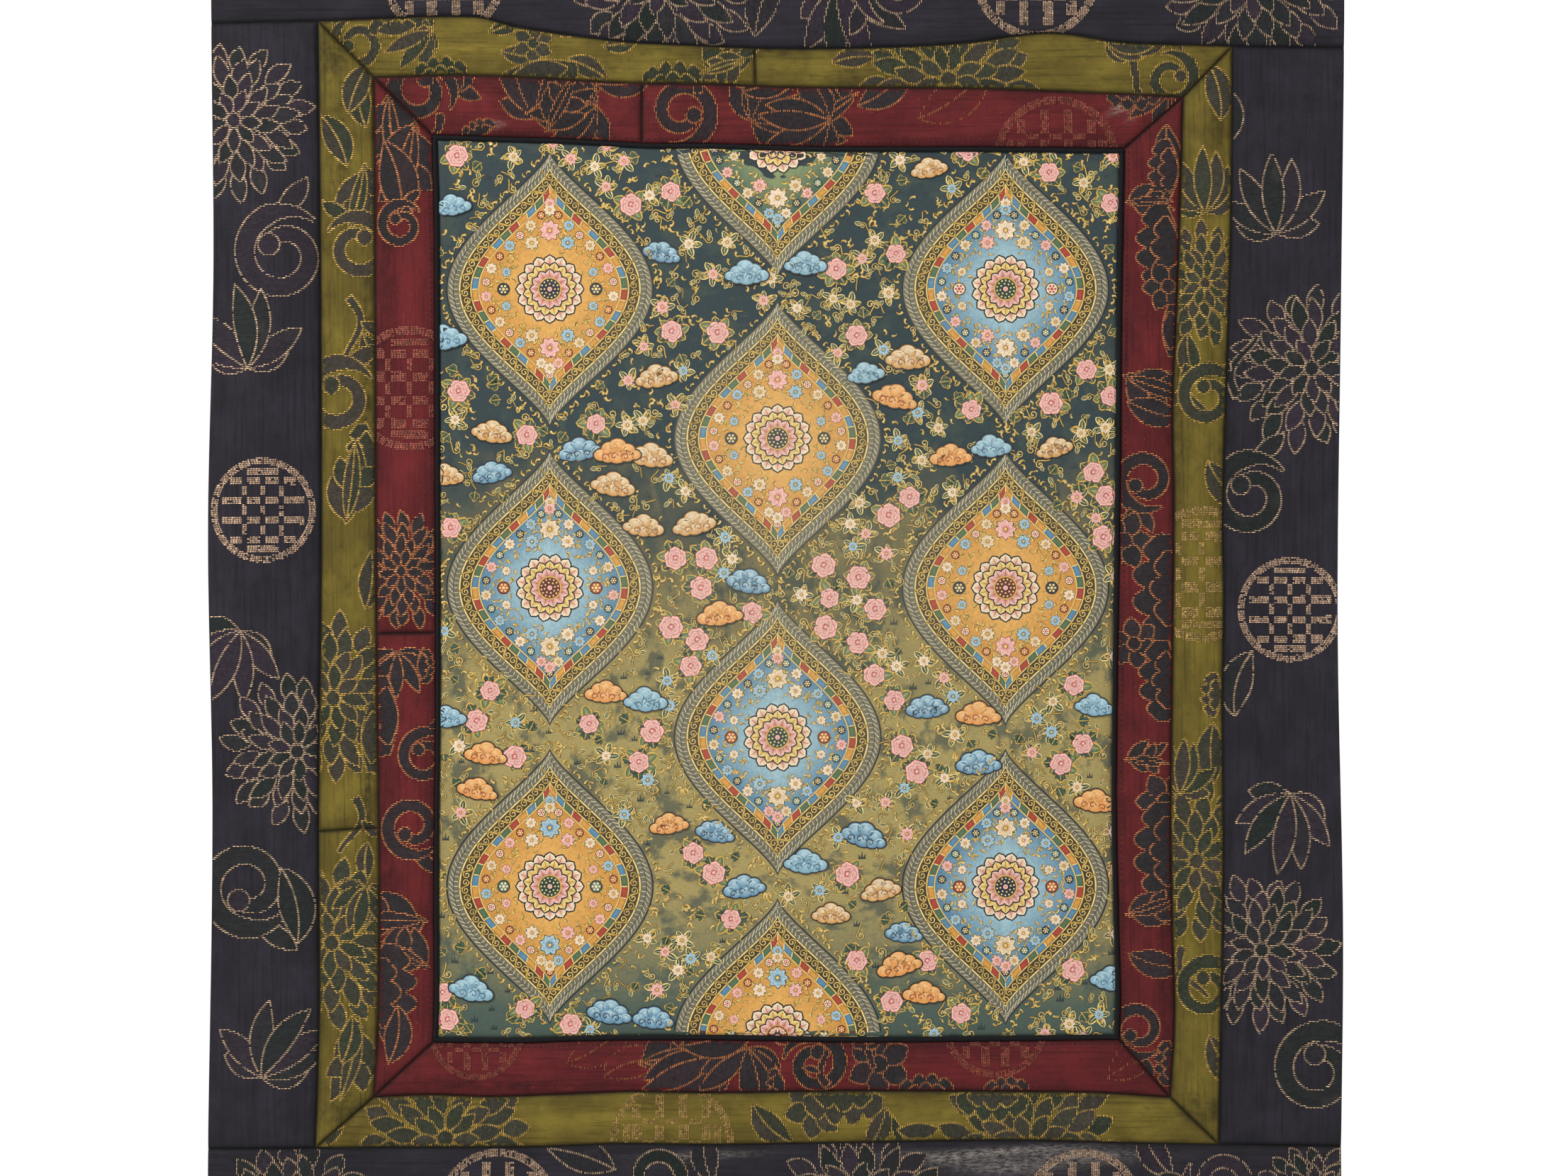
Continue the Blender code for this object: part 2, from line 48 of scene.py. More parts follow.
# ------------------------------------------------------------------ the frame's
# sizes and seams, as in the part
CANVAS_THICK, CLOTH_THICK, HEM_EXTRA = 1.2, 1.5, 1.1
TOP_HEM, SIDE_HEM, FOOT_HEM = 26.0, 12.0, 20.0
PIPING_RADIUS, PIPING_PROUD, CHANNEL = 1.10, 0.35, 1.05
STRIP_PUFF, PANEL_PUFF, CANVAS_PUFF, PUFF_REACH = 0.9, 1.1, 0.7, 7.0
FOOT_CURL, SIDE_CURL = 3.2, 1.6

Corner = namedtuple("Corner", "x z")
Ring = namedtuple("Ring", "tl tr bl br")
Off = namedtuple("Off", "along off")
Join = namedtuple("Join", "inner outer")
Fold = namedtuple("Fold", "x z turn long wide height")
Wave = namedtuple("Wave", "length start lean top foot")
PIPED = Ring(  # the middle of the piping
    tl=Corner(-181.5, -202.6),
    tr=Corner(182.2, -209.9),
    bl=Corner(-181.0, -680.2),
    br=Corner(179.4, -678.6),
)
INNER = Ring(  # inner frame to outer frame
    tl=Corner(-213.8, -170.6),
    tr=Corner(214.6, -181.4),
    bl=Corner(-213.8, -710.5),
    br=Corner(207.8, -710.6),
)
OUTER = Ring(  # outer frame to outer cloth
    tl=Corner(-243.2, -141.2),
    tr=Corner(240.6, -154.6),
    bl=Corner(-244.6, -737.4),
    br=Corner(233.6, -735.6),
)
EDGE = Ring(  # the hemmed edge of the hanging
    tl=Corner(-300.0, 0.0),
    tr=Corner(300.0, 0.0),
    bl=Corner(-302.0, -944.0),
    br=Corner(298.5, -946.5),
)
# where the top and bottom panels' seams reach the hemmed sides
SIDE_TL = Corner(-299.6, -142.6)
SIDE_TR = Corner(299.4, -155.4)
SIDE_BL = Corner(-301.4, -738.0)
SIDE_BR = Corner(298.0, -736.4)

# ---------------------------------------------------------------- seams
# A seam runs straight between two corners, and each row says how far it is off
# that line at a share of its length: positive is up for a seam that runs
# across, and to the right for one that runs down.

PIPING_TOP = (
    Off(0.00, 0.0),
    Off(0.20, -0.9),
    Off(0.31, -2.3),
    Off(0.40, -1.9),
    Off(0.56, -2.4),
    Off(0.77, -0.9),
    Off(1.00, 0.0),
)
PIPING_BOTTOM = (
    Off(0.00, 0.0),
    Off(0.13, -0.5),
    Off(0.22, 0.5),
    Off(0.41, 0.9),
    Off(0.61, -0.4),
    Off(0.79, -0.4),
    Off(1.00, 0.0),
)
PIPING_LEFT = (
    Off(0.00, 0.0),
    Off(0.09, 1.1),
    Off(0.38, 1.4),
    Off(0.63, 1.5),
    Off(0.80, 0.6),
    Off(0.95, 0.6),
    Off(1.00, 0.0),
)
PIPING_RIGHT = (
    Off(0.00, 0.0),
    Off(0.16, -0.9),
    Off(0.38, -1.2),
    Off(0.71, -2.3),
    Off(0.85, -1.0),
    Off(0.95, 0.5),
    Off(1.00, 0.0),
)
INNER_TOP = (
    Off(0.00, 0.0),
    Off(0.12, 2.1),
    Off(0.33, 0.0),
    Off(0.41, 0.4),
    Off(0.53, -0.1),
    Off(0.73, 1.7),
    Off(0.93, 0.8),
    Off(1.00, 0.0),
)
INNER_BOTTOM = (
    Off(0.00, 0.0),
    Off(0.07, 1.1),
    Off(0.15, 0.1),
    Off(0.33, 2.9),
    Off(0.43, 2.5),
    Off(0.60, 3.7),
    Off(0.75, 3.4),
    Off(0.90, 2.6),
    Off(1.00, 0.0),
)
INNER_LEFT = (
    Off(0.00, 0.0),
    Off(0.13, 0.7),
    Off(0.41, 1.1),
    Off(0.62, 1.9),
    Off(0.78, 2.9),
    Off(0.92, 2.3),
    Off(1.00, 0.0),
)
INNER_RIGHT = (
    Off(0.00, 0.0),
    Off(0.19, -1.7),
    Off(0.31, -3.4),
    Off(0.40, -2.1),
    Off(0.61, -1.7),
    Off(0.72, -1.6),
    Off(0.82, -0.2),
    Off(0.92, 1.8),
    Off(1.00, 0.0),
)
OUTER_TOP = (
    Off(0.00, 0.0),
    Off(0.17, 4.6),
    Off(0.22, -0.4),
    Off(0.33, -6.2),
    Off(0.41, -7.4),
    Off(0.51, -7.9),
    Off(0.62, -5.6),
    Off(0.71, -2.0),
    Off(0.80, 4.3),
    Off(0.88, 0.4),
    Off(1.00, 0.0),
)
OUTER_BOTTOM = (
    Off(0.00, 0.0),
    Off(0.24, 0.2),
    Off(0.34, 1.6),
    Off(0.44, 1.1),
    Off(0.59, 2.3),
    Off(0.78, 3.1),
    Off(0.89, 1.1),
    Off(1.00, 0.0),
)
OUTER_LEFT = (
    Off(0.00, 0.0),
    Off(0.20, 1.6),
    Off(0.48, 2.4),
    Off(0.70, 1.2),
    Off(0.88, 1.9),
    Off(1.00, 0.0),
)
OUTER_RIGHT = (
    Off(0.00, 0.0),
    Off(0.15, 0.5),
    Off(0.35, -1.4),
    Off(0.44, -2.0),
    Off(0.50, -0.8),
    Off(0.60, -1.0),
    Off(0.75, 0.6),
    Off(1.00, 0.0),
)
HEM_LEFT = (
    Off(0.00, 0.0),
    Off(0.22, 1.6),
    Off(0.45, -0.8),
    Off(0.70, 1.9),
    Off(1.00, 0.0),
)
HEM_RIGHT = (
    Off(0.00, 0.0),
    Off(0.25, -1.4),
    Off(0.52, -2.6),
    Off(0.80, 0.6),
    Off(1.00, 0.0),
)
HEM_FOOT = (
    Off(0.00, 0.0),
    Off(0.28, -1.6),
    Off(0.55, 0.9),
    Off(0.80, -0.8),
    Off(1.00, 0.0),
)
STRAIGHT = (Off(0.0, 0.0), Off(1.0, 0.0))

# where the pieced strips are joined, as shares of the inner and the outer seam
MAROON_TOP_JOIN = Join(inner=0.303, outer=0.332)
MAROON_LEFT_JOIN = Join(inner=0.549, outer=0.546)
OLIVE_TOP_JOIN = Join(inner=0.472, outer=0.478)
OLIVE_LEFT_JOIN = Join(inner=0.736, outer=0.719)

# ---------------------------------------------------------------- folds
# Soft ridges (height above zero, towards the viewer) and troughs (below zero).
# turn is the angle of the fold's line from level; long and wide are half sizes.
FOLDS = (
    Fold(x=-120, z=-60, turn=82, long=90, wide=34, height=1.9),
    Fold(x=60, z=-70, turn=95, long=90, wide=30, height=-1.6),
    Fold(x=205, z=-60, turn=100, long=90, wide=32, height=1.8),
    Fold(x=60, z=-190, turn=-20, long=34, wide=9, height=0.9),
    Fold(x=196, z=-196, turn=42, long=30, wide=11, height=-1.1),
    Fold(x=-196, z=-184, turn=-45, long=30, wide=10, height=-0.8),
    Fold(x=-196, z=-694, turn=40, long=26, wide=11, height=1.0),
    Fold(x=192, z=-692, turn=-48, long=30, wide=12, height=1.2),
    Fold(x=-90, z=-330, turn=88, long=130, wide=40, height=0.9),
    Fold(x=70, z=-470, turn=92, long=150, wide=46, height=-0.9),
    Fold(x=-272, z=-330, turn=84, long=120, wide=20, height=2.2),
    Fold(x=268, z=-420, turn=94, long=130, wide=22, height=-2.0),
    Fold(x=-278, z=-610, turn=88, long=80, wide=18, height=-1.8),
    Fold(x=-150, z=-850, turn=84, long=120, wide=38, height=4.2),
    Fold(x=10, z=-860, turn=92, long=110, wide=40, height=-3.6),
    Fold(x=150, z=-850, turn=97, long=120, wide=36, height=4.0),
    Fold(x=262, z=-830, turn=80, long=110, wide=26, height=-2.4),
)
# slow waves across the whole hanging: length of one wave, its start in degrees,
# its lean (mm across for each mm down) and how far it swings at top and foot
WAVES = (
    Wave(length=520, start=20, lean=0.06, top=0.6, foot=2.6),
    Wave(length=285, start=140, lean=-0.09, top=0.4, foot=1.5),
)



# ------------------------------------------------------------------ woven figures
# where each one lies, in the cloth's own place before it was cut: kind, place,
# size, turn in degrees, flip, and how dark its ground weave is
Figure = namedtuple("Figure", "kind x z size turn flip tone")
NAVY_TOP = (
    Figure("roundel", x=-176.6, z=-117.2, size=33.0, turn=0, flip=1, tone=1.0),
    Figure("roundel", x=136.5, z=-117.2, size=33.8, turn=0, flip=1, tone=1.0),
    Figure("flower", x=-61.9, z=-118.8, size=51.8, turn=4, flip=1, tone=1.0),
    Figure("flower", x=251.6, z=-120.2, size=51.8, turn=9, flip=1, tone=1.0),
    Figure("spray", x=31.1, z=-122.5, size=39.4, turn=-62, flip=1, tone=1.0),
    Figure("curl", x=61.9, z=-123.2, size=15.8, turn=200, flip=-1, tone=1.0),
    Figure("leaf", x=-0.8, z=-115.0, size=26.2, turn=-120, flip=1, tone=1.0),
    Figure("spray", x=-216.4, z=-94.4, size=33.8, turn=100, flip=1, tone=1.0),
    Figure("curl", x=-148.9, z=-58.8, size=19.5, turn=30, flip=1, tone=1.0),
    Figure("stem", x=-122.6, z=-73.8, size=41.2, turn=70, flip=1, tone=1.0),
    Figure("flower", x=-223.9, z=-36.2, size=45.0, turn=20, flip=1, tone=1.0),
    Figure("spray", x=8.6, z=-55.0, size=41.2, turn=80, flip=-1, tone=1.0),
    Figure("curl", x=-36.4, z=-36.2, size=18.8, turn=120, flip=-1, tone=1.0),
    Figure("flower", x=76.1, z=-40.0, size=48.0, turn=14, flip=1, tone=1.0),
    Figure("roundel", x=-100.1, z=-31.8, size=30.0, turn=0, flip=1, tone=1.0),
    Figure("spray", x=173.6, z=-58.8, size=37.5, turn=60, flip=1, tone=1.0),
    Figure("curl", x=211.1, z=-43.8, size=20.2, turn=40, flip=1, tone=1.0),
    Figure("roundel", x=259.9, z=-40.0, size=30.0, turn=0, flip=1, tone=1.0),
    Figure("leaf", x=-280.1, z=-115.0, size=30.0, turn=30, flip=1, tone=1.0),
    Figure("curl", x=-268.9, z=-73.8, size=20.6, turn=10, flip=-1, tone=1.0),
    Figure("spray", x=286.1, z=-88.8, size=30.0, turn=150, flip=-1, tone=1.0),
)
NAVY_BOTTOM = (
    Figure("roundel", x=-147.8, z=-769.8, size=32.2, turn=0, flip=1, tone=1.0),
    Figure("roundel", x=161.6, z=-769.8, size=32.2, turn=0, flip=1, tone=1.0),
    Figure("leaf", x=-85.9, z=-748.8, size=27.0, turn=150, flip=1, tone=1.0),
    Figure("curl", x=-64.1, z=-752.5, size=13.5, turn=250, flip=1, tone=1.0),
    Figure("leaf", x=-34.1, z=-755.5, size=22.5, turn=118, flip=-1, tone=1.0),
    Figure("flower", x=42.8, z=-772.0, size=48.0, turn=7, flip=1, tone=1.0),
    Figure("leaf", x=209.2, z=-752.5, size=23.2, turn=140, flip=-1, tone=1.0),
    Figure("curl", x=234.4, z=-755.5, size=15.0, turn=200, flip=1, tone=1.0),
    Figure("flower", x=-254.6, z=-778.8, size=48.8, turn=3, flip=1, tone=1.0),
    Figure("spray", x=-201.4, z=-820.0, size=37.5, turn=60, flip=1, tone=1.0),
    Figure("curl", x=-88.9, z=-805.0, size=18.8, turn=40, flip=-1, tone=1.0),
    Figure("flower", x=-88.9, z=-876.2, size=48.0, turn=18, flip=1, tone=1.0),
    Figure("spray", x=-32.6, z=-823.8, size=33.8, turn=100, flip=-1, tone=1.0),
    Figure("roundel", x=31.1, z=-876.2, size=30.8, turn=0, flip=1, tone=1.0),
    Figure("spray", x=109.9, z=-827.5, size=39.4, turn=75, flip=1, tone=1.0),
    Figure("curl", x=87.4, z=-865.0, size=18.8, turn=190, flip=1, tone=1.0),
    Figure("flower", x=203.6, z=-876.2, size=48.8, turn=11, flip=1, tone=1.0),
    Figure("spray", x=271.1, z=-823.8, size=37.5, turn=120, flip=-1, tone=1.0),
    Figure("roundel", x=-231.4, z=-883.8, size=30.0, turn=0, flip=1, tone=1.0),
    Figure("curl", x=-171.4, z=-891.2, size=18.0, turn=70, flip=1, tone=1.0),
    Figure("stem", x=136.1, z=-910.0, size=41.2, turn=100, flip=1, tone=1.0),
    Figure("flower", x=282.4, z=-767.5, size=33.8, turn=30, flip=1, tone=1.0),
    Figure("leaf", x=-291.4, z=-835.0, size=30.0, turn=60, flip=1, tone=1.0),
)
NAVY_LEFT = (
    Figure("flower", x=-287.6, z=-193.8, size=42.0, turn=12, flip=1, tone=1.0),
    Figure("curl", x=-261.4, z=-265.0, size=19.5, turn=100, flip=1, tone=1.0),
    Figure("spray", x=-280.1, z=-325.0, size=37.5, turn=90, flip=1, tone=1.0),
    Figure("roundel", x=-271.9, z=-400.0, size=27.8, turn=90, flip=1, tone=1.0),
    Figure("spray", x=-283.9, z=-463.8, size=33.8, turn=250, flip=-1, tone=1.0),
    Figure("flower", x=-253.9, z=-527.5, size=42.0, turn=25, flip=1, tone=1.0),
    Figure("curl", x=-280.1, z=-598.8, size=19.5, turn=280, flip=-1, tone=1.0),
    Figure("leaf", x=-253.9, z=-628.8, size=30.0, turn=80, flip=1, tone=1.0),
    Figure("spray", x=-272.6, z=-700.0, size=37.5, turn=70, flip=1, tone=1.0),
)
NAVY_RIGHT = (
    Figure("leaf", x=239.2, z=-205.0, size=22.5, turn=80, flip=1, tone=1.0),
    Figure("spray", x=263.6, z=-253.8, size=35.6, turn=95, flip=1, tone=1.0),
    Figure("flower", x=282.4, z=-325.0, size=44.2, turn=10, flip=1, tone=1.0),
    Figure("curl", x=250.5, z=-392.5, size=17.2, turn=90, flip=1, tone=1.0),
    Figure("stem", x=243.0, z=-340.0, size=33.8, turn=80, flip=1, tone=1.0),
    Figure("roundel", x=271.1, z=-452.5, size=27.8, turn=90, flip=1, tone=1.0),
    Figure("leaf", x=241.9, z=-508.8, size=26.2, turn=100, flip=-1, tone=1.0),
    Figure("spray", x=271.1, z=-550.0, size=35.6, turn=260, flip=-1, tone=1.0),
    Figure("flower", x=256.1, z=-632.5, size=42.0, turn=20, flip=1, tone=1.0),
    Figure("curl", x=286.1, z=-696.2, size=18.8, turn=60, flip=1, tone=1.0),
)
OLIVE_TOP = (
    Figure("curl", x=-222.0, z=-153.2, size=11.2, turn=150, flip=1, tone=1.0),
    Figure("spray", x=-182.6, z=-146.5, size=23.2, turn=200, flip=-1, tone=1.0),
    Figure("lobes", x=-201.4, z=-145.0, size=22.5, turn=10, flip=1, tone=1.0),
    Figure("leaf", x=-152.6, z=-147.2, size=15.8, turn=15, flip=1, tone=1.0),
    Figure("leaf", x=-146.6, z=-157.0, size=16.5, turn=-20, flip=1, tone=0.8),
    Figure("blossom", x=-129.4, z=-153.2, size=9.0, turn=30, flip=1, tone=0.8),
    Figure("leaf", x=-115.1, z=-149.5, size=15.0, turn=30, flip=1, tone=1.0),
    Figure("leaf", x=-111.4, z=-161.5, size=17.2, turn=-14, flip=-1, tone=0.9),
    Figure("leaf", x=-92.6, z=-154.0, size=15.0, turn=-8, flip=1, tone=0.7),
    Figure("lobes", x=-178.1, z=-169.8, size=22.5, turn=4, flip=1, tone=1.0),
    Figure("lobes", x=-125.6, z=-167.5, size=31.5, turn=8, flip=-1, tone=1.0),
    Figure("lobes", x=-55.1, z=-174.2, size=26.2, turn=2, flip=1, tone=1.0),
    Figure("zig", x=-36.4, z=-173.5, size=31.5, turn=52, flip=1, tone=0.9),
    Figure("zig", x=-16.9, z=-161.5, size=19.5, turn=200, flip=-1, tone=0.9),
    Figure("flower", x=90.4, z=-172.0, size=48.0, turn=12, flip=1, tone=1.0),
    Figure("leaf", x=52.1, z=-160.8, size=17.2, turn=170, flip=1, tone=1.0),
    Figure("stem", x=168.0, z=-148.8, size=45.0, turn=-48, flip=1, tone=1.0),
    Figure("spray", x=173.6, z=-152.5, size=22.5, turn=10, flip=1, tone=0.9),
    Figure("curl", x=208.1, z=-172.0, size=11.2, turn=60, flip=-1, tone=1.0),
)
OLIVE_BOTTOM = (
    Figure("flower", x=-175.9, z=-732.2, size=49.5, turn=10, flip=1, tone=1.0),
    Figure("leaf", x=-229.1, z=-726.2, size=15.0, turn=200, flip=1, tone=0.9),
    Figure("roundel", x=-55.9, z=-734.5, size=33.0, turn=0, flip=1, tone=0.9),
    Figure("leaf", x=-13.1, z=-713.5, size=22.5, turn=-66, flip=1, tone=1.0),
    Figure("blossom", x=19.9, z=-715.8, size=13.5, turn=80, flip=1, tone=1.0),
    Figure("stem", x=48.4, z=-715.0, size=45.0, turn=-62, flip=1, tone=1.0),
    Figure("lobes", x=34.9, z=-709.8, size=33.8, turn=180, flip=1, tone=1.0),
    Figure("leaf", x=57.4, z=-715.0, size=18.8, turn=260, flip=-1, tone=1.0),
    Figure("flower", x=134.6, z=-736.8, size=50.2, turn=16, flip=1, tone=1.0),
    Figure("lobes", x=113.6, z=-709.8, size=30.0, turn=178, flip=1, tone=0.8),
)
OLIVE_LEFT = (
    Figure("leaf", x=-219.4, z=-171.2, size=19.5, turn=250, flip=1, tone=1.0),
    Figure("leaf", x=-226.9, z=-190.0, size=21.0, turn=80, flip=-1, tone=1.0),
    Figure("zig", x=-218.2, z=-216.2, size=30.0, turn=262, flip=1, tone=1.0),
    Figure("leaf", x=-227.6, z=-218.1, size=22.5, turn=100, flip=1, tone=1.0),
    Figure("curl", x=-222.0, z=-261.2, size=14.2, turn=100, flip=-1, tone=1.0),
    Figure("stem", x=-226.9, z=-287.5, size=33.8, turn=275, flip=1, tone=1.0),
    Figure("leaf", x=-219.4, z=-306.2, size=18.8, turn=285, flip=1, tone=1.0),
    Figure("curl", x=-232.1, z=-340.0, size=15.8, turn=80, flip=1, tone=1.0),
    Figure("lobes", x=-216.4, z=-370.0, size=26.2, turn=92, flip=1, tone=1.0),
    Figure("zig", x=-228.4, z=-407.5, size=33.8, turn=80, flip=1, tone=1.0),
    Figure("flower", x=-235.1, z=-499.4, size=45.0, turn=24, flip=1, tone=1.0),
    Figure("leaf", x=-217.9, z=-452.5, size=22.5, turn=70, flip=1, tone=1.0),
    Figure("lobes", x=-214.9, z=-520.0, size=30.0, turn=88, flip=-1, tone=1.0),
    Figure("stem", x=-223.1, z=-551.9, size=30.0, turn=262, flip=1, tone=1.0),
    Figure("leaf", x=-216.4, z=-575.5, size=15.0, turn=250, flip=1, tone=1.0),
    Figure("flower", x=-235.9, z=-628.8, size=46.5, turn=6, flip=1, tone=1.0),
    Figure("spray", x=-217.9, z=-598.8, size=22.5, turn=260, flip=1, tone=1.0),
    Figure("zig", x=-220.9, z=-670.0, size=33.8, turn=262, flip=-1, tone=1.0),
    Figure("leaf", x=-230.6, z=-692.5, size=18.8, turn=60, flip=1, tone=0.9),
)
OLIVE_RIGHT = (
    Figure("leaf", x=234.4, z=-193.8, size=22.5, turn=84, flip=1, tone=1.0),
    Figure("spray", x=226.1, z=-242.5, size=29.2, turn=92, flip=1, tone=1.0),
    Figure("flower", x=226.1, z=-280.0, size=33.0, turn=20, flip=1, tone=1.0),
    Figure("leaf", x=217.1, z=-306.2, size=18.8, turn=262, flip=1, tone=1.0),
    Figure("stem", x=217.1, z=-323.1, size=30.0, turn=284, flip=-1, tone=1.0),
    Figure("curl", x=227.6, z=-340.0, size=12.8, turn=70, flip=1, tone=1.0),
    Figure("leaf", x=227.6, z=-373.8, size=24.8, turn=292, flip=1, tone=1.0),
    Figure("roundel", x=224.6, z=-433.8, size=36.0, turn=90, flip=1, tone=0.85),
    Figure("leaf", x=230.6, z=-512.5, size=23.2, turn=258, flip=1, tone=1.0),
    Figure("lobes", x=232.1, z=-497.5, size=18.8, turn=88, flip=1, tone=1.0),
    Figure("flower", x=221.6, z=-585.6, size=45.0, turn=9, flip=1, tone=1.0),
    Figure("spray", x=212.6, z=-550.0, size=24.8, turn=84, flip=1, tone=1.0),
    Figure("stem", x=214.1, z=-630.6, size=30.0, turn=288, flip=-1, tone=1.0),
    Figure("curl", x=226.9, z=-653.1, size=12.8, turn=64, flip=1, tone=1.0),
    Figure("leaf", x=228.4, z=-677.5, size=24.8, turn=290, flip=1, tone=1.0),
)
MAROON_TOP = (
    Figure("curl", x=-189.4, z=-178.0, size=15.0, turn=20, flip=1, tone=1.0),
    Figure("stem", x=-178.9, z=-190.0, size=22.5, turn=240, flip=1, tone=1.0),
    Figure("leaf", x=-167.6, z=-178.8, size=18.8, turn=70, flip=1, tone=1.0),
    Figure("lobes", x=-157.9, z=-199.8, size=15.0, turn=20, flip=1, tone=0.9),
    Figure("spray", x=-127.9, z=-193.0, size=34.5, turn=62, flip=1, tone=1.0),
    Figure("spray", x=-95.6, z=-186.2, size=31.5, turn=200, flip=-1, tone=1.0),
    Figure("leaf", x=-95.6, z=-174.2, size=22.5, turn=-12, flip=1, tone=1.0),
    Figure("zig", x=-122.6, z=-199.8, size=26.2, turn=60, flip=-1, tone=1.0),
    Figure("curl", x=-50.6, z=-189.2, size=14.2, turn=300, flip=1, tone=1.0),
    Figure("stem", x=-42.0, z=-179.5, size=18.8, turn=60, flip=1, tone=1.0),
    Figure("spray", x=-13.9, z=-194.5, size=36.0, turn=40, flip=1, tone=1.0),
    Figure("leaf", x=-19.1, z=-178.8, size=26.2, turn=10, flip=1, tone=1.0),
    Figure("zig", x=8.6, z=-200.5, size=31.5, turn=24, flip=-1, tone=1.0),
    Figure("spray", x=27.4, z=-193.8, size=31.5, turn=184, flip=-1, tone=1.0),
    Figure("leaf", x=42.4, z=-186.2, size=26.2, turn=18, flip=1, tone=0.6),
    Figure("leaf", x=74.6, z=-193.0, size=33.8, turn=20, flip=1, tone=0.15),
    Figure("roundel", x=147.4, z=-214.0, size=33.0, turn=0, flip=1, tone=0.7),
    Figure("spray", x=207.4, z=-179.5, size=21.0, turn=200, flip=1, tone=0.8),
    Figure("lobes", x=188.6, z=-178.8, size=22.5, turn=182, flip=1, tone=0.5),
)
MAROON_BOTTOM = (
    Figure("roundel", x=-159.4, z=-676.8, size=24.8, turn=0, flip=1, tone=0.5),
    Figure("leaf", x=-111.4, z=-692.5, size=30.0, turn=20, flip=1, tone=0.1),
    Figure("leaf", x=-92.6, z=-700.0, size=26.2, turn=40, flip=-1, tone=0.1),
    Figure("zig", x=-73.9, z=-692.5, size=33.8, turn=12, flip=1, tone=0.95),
    Figure("spray", x=-32.6, z=-688.8, size=36.0, turn=205, flip=1, tone=1.0),
    Figure("spray", x=-15.4, z=-684.2, size=31.5, turn=262, flip=-1, tone=1.0),
    Figure("leaf", x=-51.4, z=-682.8, size=33.8, turn=2, flip=1, tone=1.0),
    Figure("lobes", x=1.1, z=-703.8, size=15.0, turn=100, flip=1, tone=0.8),
    Figure("curl", x=19.9, z=-692.5, size=13.5, turn=120, flip=-1, tone=1.0),
    Figure("stem", x=26.6, z=-703.8, size=18.8, turn=100, flip=1, tone=1.0),
    Figure("blossom", x=53.6, z=-692.5, size=14.2, turn=90, flip=1, tone=1.0),
    Figure("stem", x=40.1, z=-682.0, size=16.5, turn=-40, flip=1, tone=1.0),
    Figure("lobes", x=78.4, z=-707.5, size=22.5, turn=2, flip=1, tone=0.8),
    Figure("roundel", x=115.1, z=-672.2, size=27.8, turn=0, flip=1, tone=0.45),
    Figure("leaf", x=173.6, z=-700.0, size=28.5, turn=24, flip=1, tone=0.12),
    Figure("leaf", x=188.6, z=-692.5, size=26.2, turn=60, flip=-1, tone=0.12),
    Figure("lobes", x=121.1, z=-707.5, size=18.8, turn=2, flip=1, tone=0.5),
)
MAROON_LEFT = (
    Figure("zig", x=-205.1, z=-178.8, size=33.8, turn=268, flip=1, tone=1.0),
    Figure("zig", x=-191.6, z=-193.8, size=36.0, turn=262, flip=-1, tone=1.0),
    Figure("leaf", x=-201.4, z=-212.5, size=24.0, turn=268, flip=1, tone=1.0),
    Figure("leaf", x=-199.1, z=-247.0, size=31.5, turn=84, flip=1, tone=1.0),
    Figure("curl", x=-199.1, z=-249.2, size=9.8, turn=90, flip=1, tone=1.0),
    Figure("roundel", x=-194.6, z=-335.5, size=33.0, turn=90, flip=1, tone=0.55),
    Figure("flower", x=-199.1, z=-432.2, size=31.5, turn=12, flip=1, tone=1.0),
    Figure("spray", x=-201.4, z=-475.0, size=22.5, turn=268, flip=1, tone=1.0),
    Figure("lobes", x=-206.6, z=-508.8, size=33.8, turn=92, flip=1, tone=0.9),
    Figure("curl", x=-186.4, z=-530.5, size=11.2, turn=90, flip=1, tone=1.0),
    Figure("curl", x=-193.1, z=-567.2, size=12.8, turn=270, flip=-1, tone=1.0),
    Figure("zig", x=-184.9, z=-617.5, size=34.5, turn=176, flip=1, tone=0.9),
    Figure("zig", x=-184.1, z=-642.2, size=26.2, turn=150, flip=-1, tone=0.8),
    Figure("lobes", x=-208.9, z=-655.0, size=41.2, turn=90, flip=-1, tone=0.9),
    Figure("leaf", x=-205.9, z=-692.5, size=22.5, turn=60, flip=1, tone=0.9),
    Figure("lobes", x=-187.9, z=-482.5, size=15.0, turn=270, flip=1, tone=0.9),
)
